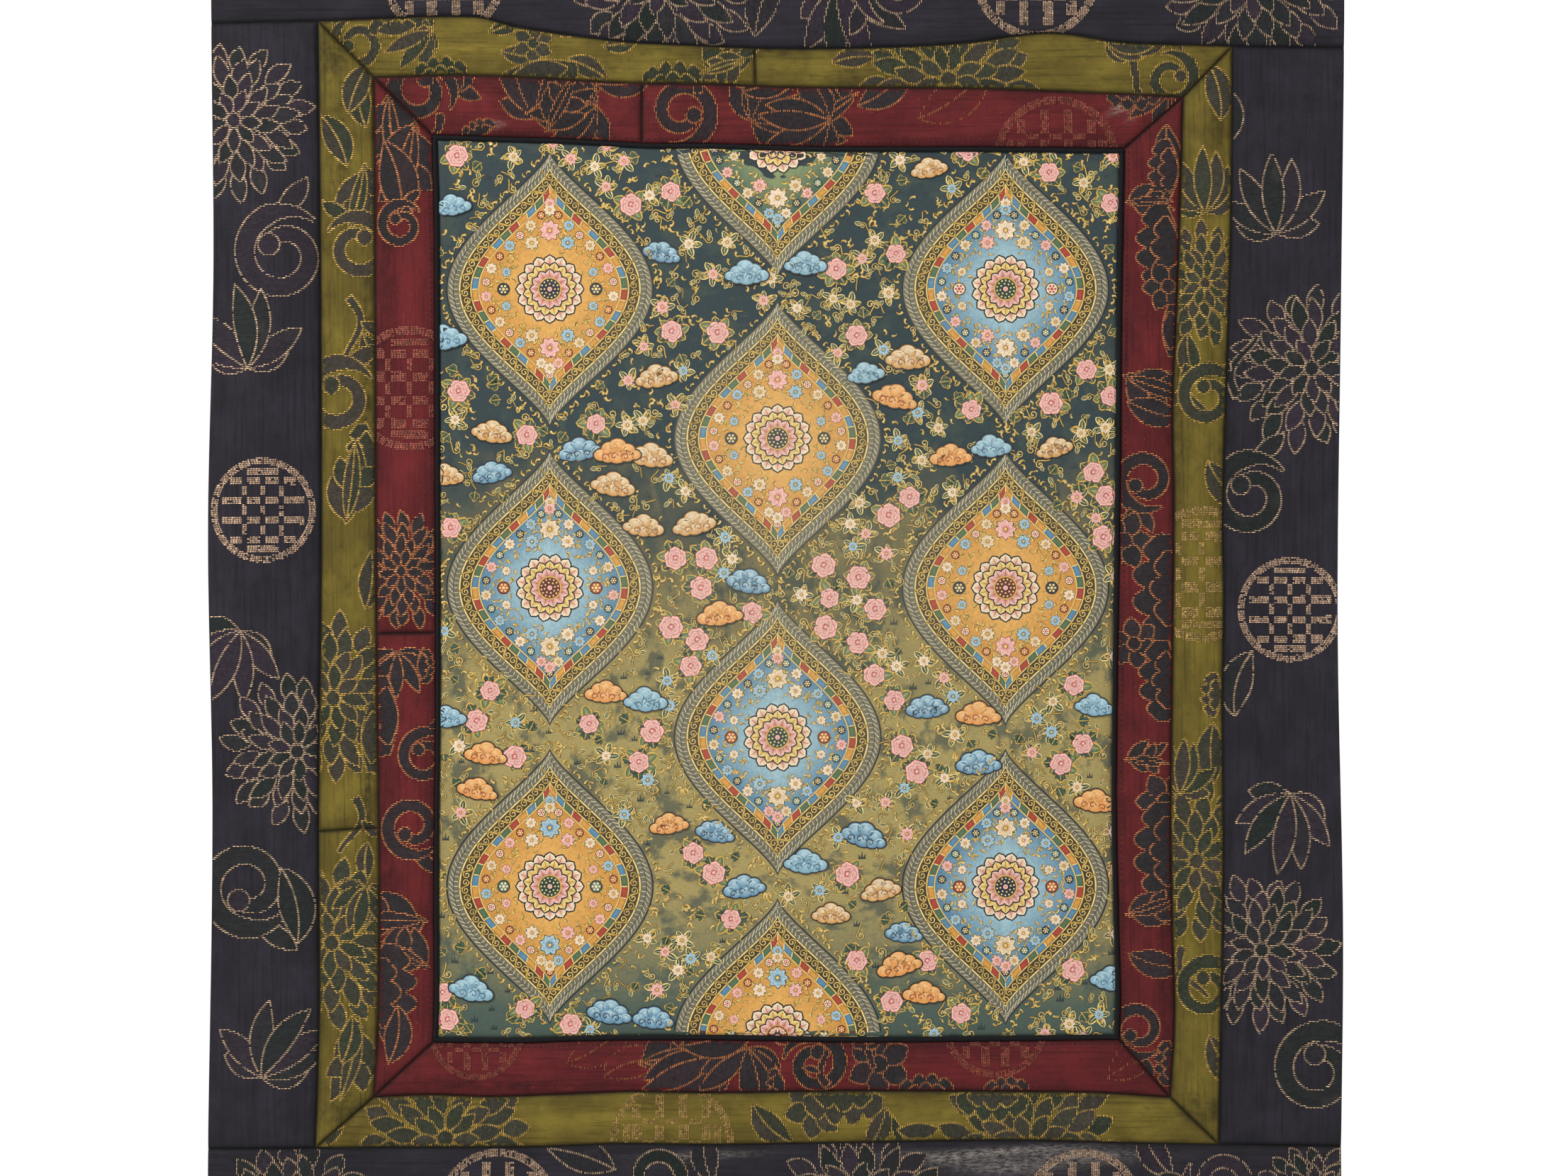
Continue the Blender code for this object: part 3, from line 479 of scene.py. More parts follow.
MAROON_RIGHT = (
    Figure("leaf", x=205.9, z=-196.0, size=21.0, turn=262, flip=1, tone=0.9),
    Figure("lobes", x=207.4, z=-220.0, size=26.2, turn=90, flip=1, tone=1.0),
    Figure("zig", x=184.1, z=-236.9, size=19.5, turn=0, flip=1, tone=0.9),
    Figure("lobes", x=205.9, z=-261.2, size=37.5, turn=90, flip=1, tone=1.0),
    Figure("blossom", x=206.6, z=-281.5, size=11.2, turn=180, flip=1, tone=1.0),
    Figure("lobes", x=207.4, z=-304.8, size=22.5, turn=90, flip=-1, tone=1.0),
    Figure("zig", x=182.6, z=-328.8, size=31.5, turn=-20, flip=-1, tone=0.95),
    Figure("leaf", x=184.9, z=-342.2, size=22.5, turn=-30, flip=1, tone=0.9),
    Figure("curl", x=194.6, z=-384.2, size=12.8, turn=250, flip=-1, tone=1.0),
    Figure("stem", x=187.9, z=-400.0, size=16.5, turn=200, flip=1, tone=1.0),
    Figure("blossom", x=183.4, z=-415.8, size=12.8, turn=0, flip=1, tone=1.0),
    Figure("lobes", x=207.4, z=-441.2, size=45.0, turn=90, flip=1, tone=1.0),
    Figure("blossom", x=188.6, z=-470.5, size=11.2, turn=40, flip=1, tone=1.0),
    Figure("lobes", x=205.9, z=-490.0, size=33.8, turn=92, flip=1, tone=1.0),
    Figure("zig", x=183.4, z=-532.0, size=18.8, turn=0, flip=1, tone=0.9),
    Figure("blossom", x=205.1, z=-553.8, size=12.8, turn=180, flip=1, tone=1.0),
    Figure("lobes", x=206.6, z=-580.0, size=41.2, turn=90, flip=1, tone=1.0),
    Figure("zig", x=184.1, z=-613.8, size=24.0, turn=10, flip=1, tone=0.9),
    Figure("leaf", x=185.6, z=-634.4, size=22.5, turn=-30, flip=1, tone=0.9),
    Figure("curl", x=190.9, z=-674.5, size=12.0, turn=260, flip=-1, tone=1.0),
    Figure("lobes", x=207.4, z=-692.5, size=18.8, turn=90, flip=1, tone=0.9),
)

# ------------------------------------------------------------------ finer creases
# As FOLDS, but too fine for the part: puckers, pulls and dents in the cloth.
CREASES = (
    Fold(x=14, z=-196, turn=-24, long=22, wide=3.2, height=0.62),
    Fold(x=24, z=-202, turn=-32, long=16, wide=2.6, height=-0.5),
    Fold(x=38, z=-193, turn=-16, long=20, wide=3.0, height=-0.55),
    Fold(x=50, z=-199, turn=-22, long=24, wide=3.4, height=0.6),
    Fold(x=74, z=-190, turn=-12, long=22, wide=3.0, height=0.45),
    Fold(x=92, z=-197, turn=8, long=20, wide=2.8, height=-0.4),
    Fold(x=168, z=-199, turn=36, long=14, wide=3.0, height=0.55),
    Fold(x=178, z=-193, turn=52, long=12, wide=2.6, height=-0.5),
    Fold(x=187, z=-214, turn=-58, long=13, wide=3.0, height=0.6),
    Fold(x=194, z=-224, turn=-70, long=14, wide=3.0, height=-0.4),
    Fold(x=196, z=-232, turn=66, long=16, wide=4.0, height=0.45),
    Fold(x=-190, z=-200, turn=-40, long=9, wide=2.6, height=0.5),
    Fold(x=-197, z=-213, turn=60, long=12, wide=3.0, height=-0.4),
    Fold(x=-150, z=-694, turn=4, long=34, wide=5.0, height=0.6),
    Fold(x=-168, z=-688, turn=20, long=12, wide=3.4, height=0.8),
    Fold(x=-152, z=-687, turn=70, long=7, wide=3.0, height=0.6),
    Fold(x=-141, z=-690, turn=110, long=7, wide=2.6, height=-0.5),
    Fold(x=-110, z=-690, turn=12, long=26, wide=3.6, height=0.45),
    Fold(x=-60, z=-697, turn=-6, long=30, wide=4.0, height=0.35),
    Fold(x=60, z=-693, turn=3, long=40, wide=4.0, height=0.4),
    Fold(x=176, z=-684, turn=-46, long=15, wide=3.2, height=0.9),
    Fold(x=168, z=-690, turn=-30, long=14, wide=3.0, height=-0.5),
    Fold(x=110, z=-700, turn=2, long=40, wide=4.6, height=-0.35),
    Fold(x=196, z=-715, turn=-44, long=16, wide=4.0, height=0.7),
    Fold(x=180, z=-722, turn=8, long=24, wide=4.6, height=0.7),
    Fold(x=160, z=-728, turn=-4, long=20, wide=3.4, height=-0.5),
    Fold(x=-30, z=-727, turn=2, long=34, wide=4.0, height=0.5),
    Fold(x=-90, z=-718, turn=-3, long=30, wide=3.6, height=-0.4),
    Fold(x=40, z=-724, turn=4, long=36, wide=4.4, height=0.45),
    Fold(x=-226, z=-330, turn=88, long=36, wide=4.0, height=0.5),
    Fold(x=-228, z=-520, turn=92, long=44, wide=4.6, height=0.5),
    Fold(x=-222, z=-640, turn=86, long=30, wide=3.6, height=-0.4),
    Fold(x=-197, z=-420, turn=90, long=40, wide=4.0, height=0.4),
    Fold(x=-200, z=-300, turn=84, long=26, wide=3.6, height=-0.35),
    Fold(x=-192, z=-590, turn=94, long=34, wide=4.2, height=0.5),
    Fold(x=196, z=-330, turn=86, long=34, wide=4.2, height=0.5),
    Fold(x=190, z=-450, turn=92, long=40, wide=3.8, height=-0.35),
    Fold(x=199, z=-560, turn=88, long=36, wide=4.0, height=0.45),
    Fold(x=224, z=-300, turn=90, long=40, wide=4.4, height=0.5),
    Fold(x=219, z=-470, turn=92, long=46, wide=4.0, height=0.45),
    Fold(x=222, z=-600, turn=87, long=34, wide=4.4, height=-0.4),
    Fold(x=-176, z=-148, turn=-2, long=30, wide=4.4, height=0.5),
    Fold(x=-90, z=-158, turn=-8, long=34, wide=4.0, height=-0.35),
    Fold(x=-20, z=-166, turn=2, long=36, wide=4.2, height=0.45),
    Fold(x=60, z=-165, turn=3, long=30, wide=4.0, height=-0.35),
    Fold(x=140, z=-163, turn=8, long=34, wide=4.4, height=0.5),
    Fold(x=-130, z=-190, turn=-8, long=28, wide=3.6, height=0.4),
    Fold(x=-90, z=-193, turn=-14, long=20, wide=3.0, height=-0.35),
    Fold(x=120, z=-200, turn=6, long=30, wide=3.8, height=0.4),
    Fold(x=104, z=-745, turn=-8, long=30, wide=5.0, height=0.6),
    Fold(x=-150, z=-752, turn=6, long=40, wide=6.0, height=0.5),
    Fold(x=20, z=-752, turn=-3, long=50, wide=5.0, height=-0.5),
    Fold(x=60, z=-132, turn=10, long=50, wide=6.0, height=0.5),
    Fold(x=-120, z=-122, turn=-14, long=50, wide=6.0, height=0.5),
)


# ------------------------------------------------------------------ shape helpers
def spline(rows, at):
    """The offset at each share of a seam, on a smooth curve through its rows."""
    at = np.asarray(at, float)
    al = np.array([r.along for r in rows])
    of = np.array([r.off for r in rows])
    i = np.clip(np.searchsorted(al, at, side="left") - 1, 0, len(al) - 2)
    wide = al[i + 1] - al[i]
    t = np.clip((at - al[i]) / wide, 0, 1)
    low = np.maximum(np.arange(len(al)) - 1, 0)
    high = np.minimum(np.arange(len(al)) + 1, len(al) - 1)
    slope = (of[high] - of[low]) / (al[high] - al[low])
    s0, s1 = slope[i] * wide, slope[i + 1] * wide
    t2, t3 = t * t, t * t * t
    return (
        (2 * t3 - 3 * t2 + 1) * of[i]
        + (t3 - 2 * t2 + t) * s0
        + (3 * t2 - 2 * t3) * of[i + 1]
        + (t3 - t2) * s1
    )


class Seam:
    """A line in the plane of the cloth, from one corner to another."""

    def __init__(self, start, end, rows=STRAIGHT, a=0.0, b=1.0):
        self.start, self.end, self.rows, self.a, self.b = start, end, rows, a, b
        dx, dz = end.x - start.x, end.z - start.z
        whole = hypot(dx, dz)
        self.length = whole * abs(b - a)
        turn = 1 if (dx > 0 if abs(dx) > abs(dz) else dz < 0) else -1
        self.side = (-dz * turn / whole, dx * turn / whole)

    def part(self, a, b):
        return Seam(self.start, self.end, self.rows, a, b)

    def point(self, share):
        t = self.a + (self.b - self.a) * np.asarray(share, float)
        off = spline(self.rows, t)
        return (
            self.start.x + (self.end.x - self.start.x) * t + self.side[0] * off,
            self.start.z + (self.end.z - self.start.z) * t + self.side[1] * off,
        )

    def corner(self, share):
        x, z = self.point(share)
        return Corner(float(x), float(z))


class Chain:
    """Seams end to end. starts are the shares at which each one begins."""

    def __init__(self, seams, starts):
        self.seams, self.starts = seams, list(starts) + [1.0]
        self.length = sum(s.length for s in seams)

    def point(self, share):
        share = np.asarray(share, float)
        i = np.clip(np.searchsorted(self.starts, share, side="left") - 1, 0, len(self.seams) - 1)
        x, z = np.zeros_like(share), np.zeros_like(share)
        for k, s in enumerate(self.seams):
            a, b = self.starts[k], self.starts[k + 1]
            px, pz = s.point((share - a) / (b - a))
            x, z = np.where(i == k, px, x), np.where(i == k, pz, z)
        return x, z


def grown(ring, by):
    return Ring(
        tl=Corner(ring.tl.x - by, ring.tl.z + by),
        tr=Corner(ring.tr.x + by, ring.tr.z + by),
        bl=Corner(ring.bl.x - by, ring.bl.z - by),
        br=Corner(ring.br.x + by, ring.br.z - by),
    )


def ridges(folds, x, z):
    h = np.zeros(np.shape(x))
    for f in folds:
        c, s = cos(radians(f.turn)), sin(radians(f.turn))
        along = (x - f.x) * c + (z - f.z) * s
        across = (z - f.z) * c - (x - f.x) * s
        h = h + f.height * np.exp(-((along / f.long) ** 2) - (across / f.wide) ** 2)
    return h


def ripples(x, z, length, seed, count=9):
    """Smooth seeded unevenness, of about unit height and the given wavelength."""
    rng = np.random.default_rng(seed)
    h = np.zeros(np.shape(x))
    for _ in range(count):
        a = rng.uniform(0, 2 * pi)
        k = 2 * pi / (length * rng.uniform(0.7, 1.45))
        h = h + np.sin(k * (x * cos(a) + z * sin(a)) + rng.uniform(0, 2 * pi))
    return h * (1.6 / count)


def surface(x, z):
    """How far the middle of the cloth stands in front of the hanging plane."""
    x, z = np.asarray(x, float), np.asarray(z, float)
    down = np.clip(-z / 946.0, 0, 1)
    h = np.zeros(np.shape(x))
    for w in WAVES:
        swing = w.top + (w.foot - w.top) * down
        h = h + swing * np.sin(2 * pi * (x - w.lean * z) / w.length + radians(w.start))
    h = h + ridges(FOLDS, x, z)
    h = h + FOOT_CURL * np.maximum(0, (-z - 895.0) / 51.0) ** 2
    h = h + SIDE_CURL * np.maximum(0, (np.abs(x) - 262.0) / 38.0) ** 2 * np.sign(x)
    held = np.clip(-z / 60.0, 0, 1)
    return h * held * held * (3 - 2 * held)


def step(x, a, b):
    t = np.clip((np.asarray(x, float) - a) / (b - a), 0, 1)
    return t * t * (3 - 2 * t)


# ------------------------------------------------------------------ seam lines
canvas_ring, frame_ring = grown(PIPED, -CHANNEL), grown(PIPED, CHANNEL)
ROWS = {"top": PIPING_TOP, "bottom": PIPING_BOTTOM, "left": PIPING_LEFT, "right": PIPING_RIGHT}


def ring_seams(ring, rows):
    return {
        "top": Seam(ring.tl, ring.tr, rows["top"]),
        "bottom": Seam(ring.bl, ring.br, rows["bottom"]),
        "left": Seam(ring.tl, ring.bl, rows["left"]),
        "right": Seam(ring.tr, ring.br, rows["right"]),
    }


canvas_seams = ring_seams(canvas_ring, ROWS)
frame_seams = ring_seams(frame_ring, ROWS)
piped_seams = ring_seams(PIPED, ROWS)
inner_seams = ring_seams(
    INNER, {"top": INNER_TOP, "bottom": INNER_BOTTOM, "left": INNER_LEFT, "right": INNER_RIGHT}
)
outer_seams = ring_seams(
    OUTER, {"top": OUTER_TOP, "bottom": OUTER_BOTTOM, "left": OUTER_LEFT, "right": OUTER_RIGHT}
)
side_l, side_r = 57.0 / 600.0, 1 - 59.0 / 600.0
heading_seam = Chain(
    [Seam(SIDE_TL, OUTER.tl), outer_seams["top"], Seam(OUTER.tr, SIDE_TR)], (0.0, side_l, side_r)
)
foot_seam = Chain(
    [Seam(SIDE_BL, OUTER.bl), outer_seams["bottom"], Seam(OUTER.br, SIDE_BR)],
    (0.0, side_l, side_r),
)


# ------------------------------------------------------------------ mesh helpers
def new_object(name, verts, quads=(), tris=(), materials=(), quad_slots=0, tri_slots=0,
               attributes=None, smooth=True):
    """A mesh from arrays. verts are (n, 3) in metres."""
    quads = np.asarray(quads, np.int32).reshape(-1, 4)
    tris = np.asarray(tris, np.int32).reshape(-1, 3)
    me = bpy.data.meshes.new(name)
    me.vertices.add(len(verts))
    me.vertices.foreach_set("co", np.asarray(verts, np.float32).ravel())
    corners = np.concatenate([quads.ravel(), tris.ravel()])
    me.loops.add(len(corners))
    me.loops.foreach_set("vertex_index", corners)
    starts = np.concatenate([
        np.arange(len(quads)) * 4, len(quads) * 4 + np.arange(len(tris)) * 3
    ]).astype(np.int32)
    me.polygons.add(len(starts))
    me.polygons.foreach_set("loop_start", starts)
    for m in materials:
        me.materials.append(m)
    slots = np.concatenate([
        np.broadcast_to(np.asarray(quad_slots, np.int32), len(quads)),
        np.broadcast_to(np.asarray(tri_slots, np.int32), len(tris)),
    ])
    me.polygons.foreach_set("material_index", slots)
    me.polygons.foreach_set("use_smooth", np.full(len(starts), smooth))
    me.update(calc_edges=True)
    for key, (kind, data) in (attributes or {}).items():
        layer = me.attributes.new(key, kind, "POINT")
        field = "color" if kind == "FLOAT_COLOR" else "vector" if kind == "FLOAT_VECTOR" else "value"
        layer.data.foreach_set(field, np.asarray(data, np.float32).ravel())
    me.validate()
    ob = bpy.data.objects.new(name, me)
    bpy.context.scene.collection.objects.link(ob)
    return ob


def in_space(x, z, h):
    """Points in metres from places in the hanging's plane and heights above it."""
    return np.stack([x * MM, -np.asarray(h) * MM, z * MM], -1)


# ------------------------------------------------------------------ cloth pieces
Side = namedtuple("Side", "seam kind sewn")  # kind: across, down or line


class Cloth:
    """One cut piece of cloth: where it lies, how it is drawn in at its seams."""

    def __init__(self, name, bottom, top, left, right, swell, thick=CLOTH_THICK,
                 hem=(0, 0, 0, 0), lengthwise="across", tilt=0.0, seed=1, stitched=None):
        self.name, self.swell, self.thick, self.hem = name, swell, thick, hem
        self.bottom, self.top, self.left, self.right = bottom, top, left, right
        self.sides = (left, right, bottom, top)
        self.wide = (top.seam.length + bottom.seam.length) / 2
        self.high = (left.seam.length + right.seam.length) / 2
        self.lengthwise, self.tilt, self.seed = lengthwise, radians(tilt), seed
        self.stitched = stitched
        self.lines = []
        share = np.linspace(0, 1, 500)
        for side in self.sides:
            self.lines.append(side.seam.point(share))

    def place(self, u, v):
        b, t = self.bottom.seam.point(u), self.top.seam.point(u)
        l, r = self.left.seam.point(v), self.right.seam.point(v)
        b0, b1 = self.bottom.seam.point(0.0), self.bottom.seam.point(1.0)
        t0, t1 = self.top.seam.point(0.0), self.top.seam.point(1.0)
        return [
            (1 - v) * b[k] + v * t[k] + (1 - u) * l[k] + u * r[k]
            - (1 - u) * (1 - v) * b0[k] - u * (1 - v) * b1[k]
            - (1 - u) * v * t0[k] - u * v * t1[k]
            for k in (0, 1)
        ]

    def reach(self, x, z):
        """The distance to each side, in the order left, right, bottom, top."""
        out = []
        for side, (lx, lz) in zip(self.sides, self.lines):
            if side.kind == "across":
                order = np.argsort(lx)
                out.append(np.abs(z - np.interp(x, lx[order], lz[order])))
            elif side.kind == "down":
                order = np.argsort(lz)
                out.append(np.abs(x - np.interp(z, lz[order], lx[order])))
            else:
                dx, dz = lx[-1] - lx[0], lz[-1] - lz[0]
                out.append(np.abs((x - lx[0]) * dz - (z - lz[0]) * dx) / hypot(dx, dz))
        return out

    def inside(self, x, z, short):
        """Whether each place is on the piece and at least short from its sides."""
        ok = np.ones(np.shape(x), bool)
        for side, (lx, lz), sign in zip(self.sides, self.lines, (1, -1, 1, -1)):
            if side.kind == "across":
                order = np.argsort(lx)
                off = z - np.interp(x, lx[order], lz[order])
            elif side.kind == "down":
                order = np.argsort(lz)
                off = x - np.interp(z, lz[order], lx[order])
            else:
                # left and right sides run up, bottom and top ones run rightwards
                dx, dz = lx[-1] - lx[0], lz[-1] - lz[0]
                off = ((x - lx[0]) * dz - (z - lz[0]) * dx) / hypot(dx, dz)
                if side in self.sides[2:]:
                    off = -off
            ok &= off * sign > short
        return ok

    def sewn_reach(self, x, z):
        far = [d for d, s in zip(self.reach(x, z), self.sides) if s.sewn]
        return np.minimum.reduce(far)

    def middle(self, x, z):
        return surface(x, z)

    def front(self, x, z, d=None):
        """The height of the face of the cloth."""
        if d is None:
            d = self.sewn_reach(x, z)
        h = surface(x, z) + self.swell * (1 - np.exp(-d / PUFF_REACH))
        h = h + self.thick / 2 - 0.8 * np.exp(-((d / 0.95) ** 2))
        calm = 0.35 if self.name == "painting" else 1.0
        h = h + calm * ridges(CREASES, x, z) * (1 - np.exp(-d / 2.5))
        h = h + calm * 0.10 * np.exp(-d / 7.0) * (1 - np.exp(-d / 1.2)) * ripples(x, z, 9.0, 11)
        h = h + calm * 0.16 * (1 - np.exp(-d / 4.0)) * ripples(x, z, 34.0, 12)
        if self.stitched is not None:
            row = self.reach(x, z)[self.stitched] - 2.45
            h = h - 0.22 * np.exp(-((row / 0.8) ** 2))
        if self.name != "painting":
            h = h + 0.07 * (1 - np.exp(-d / 3.0)) * ripples(x, z, 13.0, 13)
        return h

    def weave(self, x, z):
        """Along the warp and along the weft, which runs across a strip."""
        if self.lengthwise == "across":
            s, t = x, z
        else:
            s, t = -z, x
        c, k = cos(self.tilt), sin(self.tilt)
        return s * c + t * k, t * c - s * k

    def unweave(self, s, t):
        c, k = cos(self.tilt), sin(self.tilt)
        a, b = s * c - t * k, t * c + s * k
        return (a, b) if self.lengthwise == "across" else (b, -a)


def stations(length, pitch, low, high):
    """Shares of a length: fine near each side, even between. low and high say
    whether that side is sewn (0) or how wide its hem is."""

    def near(hem):
        if hem:
            return [0, 0.5, 1.4, hem * 0.5, hem - 0.2, hem + 0.4, hem + 1.6]
        return [0, 0.35, 0.8, 1.5, 2.6, 4.2, 6.2, 7.9, 8.5]

    a, b = near(low), [length - d for d in near(high)][::-1]
    if a[-1] > b[0]:
        middle = length / 2
        a, b = [d for d in a if d < middle - 0.5], [d for d in b if d > middle + 0.5]
    n = max(1, int(round((b[0] - a[-1]) / pitch)))
    inner = [a[-1] + (b[0] - a[-1]) * i / n for i in range(1, n)]
    return np.array(a + inner + b) / length


def weave_cloth(c, pitch, face, back, wear=None):
    """The piece as a thin closed sheet, its seam allowances and hems behind it."""
    us = stations(c.wide, pitch, c.hem[0], c.hem[1])
    vs = stations(c.high, pitch, c.hem[2], c.hem[3])
    nu, nv = len(us), len(vs)
    u, v = np.meshgrid(us, vs)
    # a sewn side runs on a little, into its neighbour
    l, r, b, t = (-0.28 if s.sewn else 0.03 for s in c.sides)
    u = (l + u * (c.wide - l - r)) / c.wide
    v = (b + v * (c.high - b - t)) / c.high
    x, z = c.place(u, v)
    far = c.reach(x, z)
    d = np.minimum.reduce([f for f, s in zip(far, c.sides) if s.sewn])
    hf = c.front(x, z, d)
    # the back: seam allowances pressed open, and the turned-back hems
    lift = 0.75 * (1 - step(d, 7.9, 8.5))
    for f, width in zip(far, c.hem):
        if width:
            lift = np.maximum(lift, HEM_EXTRA * (1 - step(f, width - 0.2, width + 0.4)))
    body = 0.9 if c.name == "painting" else 1.1
    hb = hf - body - lift + 0.06 * ripples(x, z, 7.0, c.seed + 40)
    hb = np.minimum(hb, hf - 0.5)
    hb = np.maximum(hb, surface(x, z) - c.thick / 2 - 1.2)
    # the cut edge turns over into the seam
    verts = np.concatenate([in_space(x, z, hf).reshape(-1, 3), in_space(x, z, hb).reshape(-1, 3)])
    n = nu * nv
    i = np.arange(n).reshape(nv, nu)
    a, b, e, f = i[:-1, :-1], i[:-1, 1:], i[1:, 1:], i[1:, :-1]
    front = np.stack([a, b, e, f], -1).reshape(-1, 4)
    rear = np.stack([a, f, e, b], -1).reshape(-1, 4) + n
    rim = []
    for line in (i[0, :], i[:, -1], i[-1, ::-1], i[::-1, 0]):
        rim.append(np.stack([line[:-1], line[:-1] + n, line[1:] + n, line[1:]], -1))
    rim = np.concatenate(rim)
    quads = np.concatenate([front, rear, rim])
    slots = np.concatenate([
        np.zeros(len(front), int), np.ones(len(rear), int), np.ones(len(rim), int)
    ])
    s, t = c.weave(x, z)
    st = np.stack([s, t, d], -1).reshape(-1, 3)
    marks = np.zeros((nv, nu, 4))
    marks[..., 3] = 1
    if wear is not None:
        marks[..., :3] = wear(x, z)
    marks = marks.reshape(-1, 4)
    return new_object(
        c.name + "_cloth", verts, quads, (), (face, back), slots, 0,
        {
            "weave": ("FLOAT_VECTOR", np.concatenate([st, st])),
            "wear": ("FLOAT_COLOR", np.concatenate([marks, marks])),
        },
    )


# ------------------------------------------------------------------ woven figures
# Each figure is a set of closed outlines in its own plane: x along the figure,
# y across. A Part is one outline, its tone (how dark its ground weave is) and
# whether it is filled with gold wefts.

Part = namedtuple("Part", "points tone gold")


def bent(points, bend):
    """The points with the x axis bent into an arc by bend radians per unit."""
    points = np.asarray(points, float)
    if abs(bend) < 1e-9:
        return points
    r = 1 / bend
    a = points[:, 0] * bend
    return np.stack([np.sin(a) * (r - points[:, 1]), r - np.cos(a) * (r - points[:, 1])], -1)


def moved(points, x=0.0, y=0.0, turn=0.0, size=1.0):
    points = np.asarray(points, float) * size
    c, s = cos(radians(turn)), sin(radians(turn))
    return np.stack([
        x + points[:, 0] * c - points[:, 1] * s, y + points[:, 0] * s + points[:, 1] * c
    ], -1)


def leaf_line(length, width, fat=0.45, count=18):
    """The half width of a pointed leaf along its length."""
    p = np.linspace(0, 1, count)
    w = np.sin(pi * p ** (0.7 + fat * 0.6)) ** 0.85 * width / 2
    w[0] = w[-1] = 0
    return p * length, w


def leaf_outline(length, width, bend=0.0, fat=0.45):
    p, w = leaf_line(length, width, fat)
    pts = np.concatenate([np.stack([p, w], -1), np.stack([p, -w], -1)[-2:0:-1]])
    return bent(pts, bend / length)


def leaf_halves(length, width, bend=0.0, fat=0.45):
    p, w = leaf_line(length, width, fat)
    rib = np.stack([p, p * 0], -1)
    up = np.concatenate([np.stack([p, w], -1), rib[-2:0:-1]])
    low = np.concatenate([np.stack([p, -w], -1), rib[-2:0:-1]])
    return [bent(up, bend / length), bent(low, bend / length)]


def circle(r, count=36, x=0.0, y=0.0):
    a = np.linspace(0, 2 * pi, count, endpoint=False)
    return np.stack([x + r * np.cos(a), y + r * np.sin(a)], -1)


def band(line, width):
    """A closed outline around a line, its width given at each point."""
    line = np.asarray(line, float)
    d = np.gradient(line, axis=0)
    d /= np.maximum(np.hypot(d[:, 0], d[:, 1]), 1e-9)[:, None]
    n = np.stack([-d[:, 1], d[:, 0]], -1) * (np.asarray(width) / 2).reshape(-1, 1)
    return np.concatenate([line + n, (line - n)[::-1]])


def make_leaf(size, rng):
    size *= 1.4
    bend = rng.uniform(0.4, 0.9)
    if size > 20:
        return [Part(p, 1, False) for p in leaf_halves(size, size * 0.46, bend)]
    return [Part(leaf_outline(size, size * 0.5, bend), 1, False)]


def make_spray(size, rng):
    """Long leaves fanned out from one foot, the middle ones on top."""
    out = []
    size *= 1.2
    for turn, share in ((-74, 0.55), (76, 0.52), (-50, 0.8), (54, 0.76), (-27, 0.95), (30, 0.92), (1, 1.0)):
        leaf = leaf_outline(size * share, size * 0.27, rng.uniform(-0.6, 0.6), 0.55)
        out.append(Part(moved(leaf, turn=turn + rng.uniform(-5, 5)), rng.uniform(0.75, 1), False))
    return out


def make_flower(size, rng):
    out = []
    rings = ((0.60, 1.0, 19, 0.155), (0.40, 0.82, 17, 0.15), (0.22, 0.62, 13, 0.14), (0.08, 0.40, 9, 0.125))
    for k, (near, far, count, wide) in enumerate(rings):
        for i in range(count):
            turn = 360 * (i + (0.5 if k % 2 else 0)) / count + rng.uniform(-4, 4)
            reach = far * rng.uniform(0.9, 1.06)
            petal = leaf_outline((reach - near) * size, wide * 1.3 * size, rng.uniform(-0.5, 0.5), 0.5)
            petal = moved(petal, x=near * size)
            out.append(Part(moved(petal, turn=turn), rng.uniform(0.55, 1), False))
    out.append(Part(circle(size * 0.09, 20), 1, False))
    return out


def make_blossom(size, rng):
    out = []
    size *= 1.25
    for i in range(6):
        petal = leaf_outline(size, size * 0.66, 0, 0.8)
        out.append(Part(moved(petal, turn=60 * i + rng.uniform(-7, 7)), rng.uniform(0.7, 1), False))
    out.append(Part(circle(size * 0.27, 16), 1, False))
    return out


def make_zig(size, rng):
    """A long cut leaf, a smaller one laid over it, and a rib."""
    size *= 1.35
    out = []
    for share, turn, at in ((1.0, 0, 0.0), (0.62, 34, 0.05), (0.6, -32, 0.12), (0.42, 40, 0.4), (0.4, -38, 0.45)):
        leaf = leaf_outline(size * share, size * 0.3 * (0.6 + 0.4 * share), rng.uniform(-0.7, 0.7), 0.45)
        out.append(Part(moved(leaf, x=at * size, turn=turn + rng.uniform(-6, 6)), 1, False))
    for half in leaf_halves(size * 0.9, size * 0.19, rng.uniform(-0.4, 0.4), 0.4):
        out.append(Part(moved(half, x=size * 0.05), 1, False))
    return out


def make_curl(size, rng):
    """A thick volute with a second line inside it and a leafy tail."""
    size *= 1.2
    a = np.linspace(-0.9, 2 * pi * 1.12, 70)
    r = size * (1.05 - 0.66 * (a - a[0]) / (a[-1] - a[0]))
    line = np.stack([r * np.cos(a), r * np.sin(a)], -1)
    p = np.linspace(0, 1, 70)
    width = size * (0.5 - 0.17 * p) * np.minimum(1, p * 6 + 0.15)
    out = [Part(moved(leaf_outline(size * 1.1, size * 0.45, 0.6, 0.6), line[8][0], line[8][1], -70), 1, False)]
    out.append(Part(band(line, width), 1, False))
    out.append(Part(circle(size * 0.25, 18, *line[-1]), 1, False))
    return out


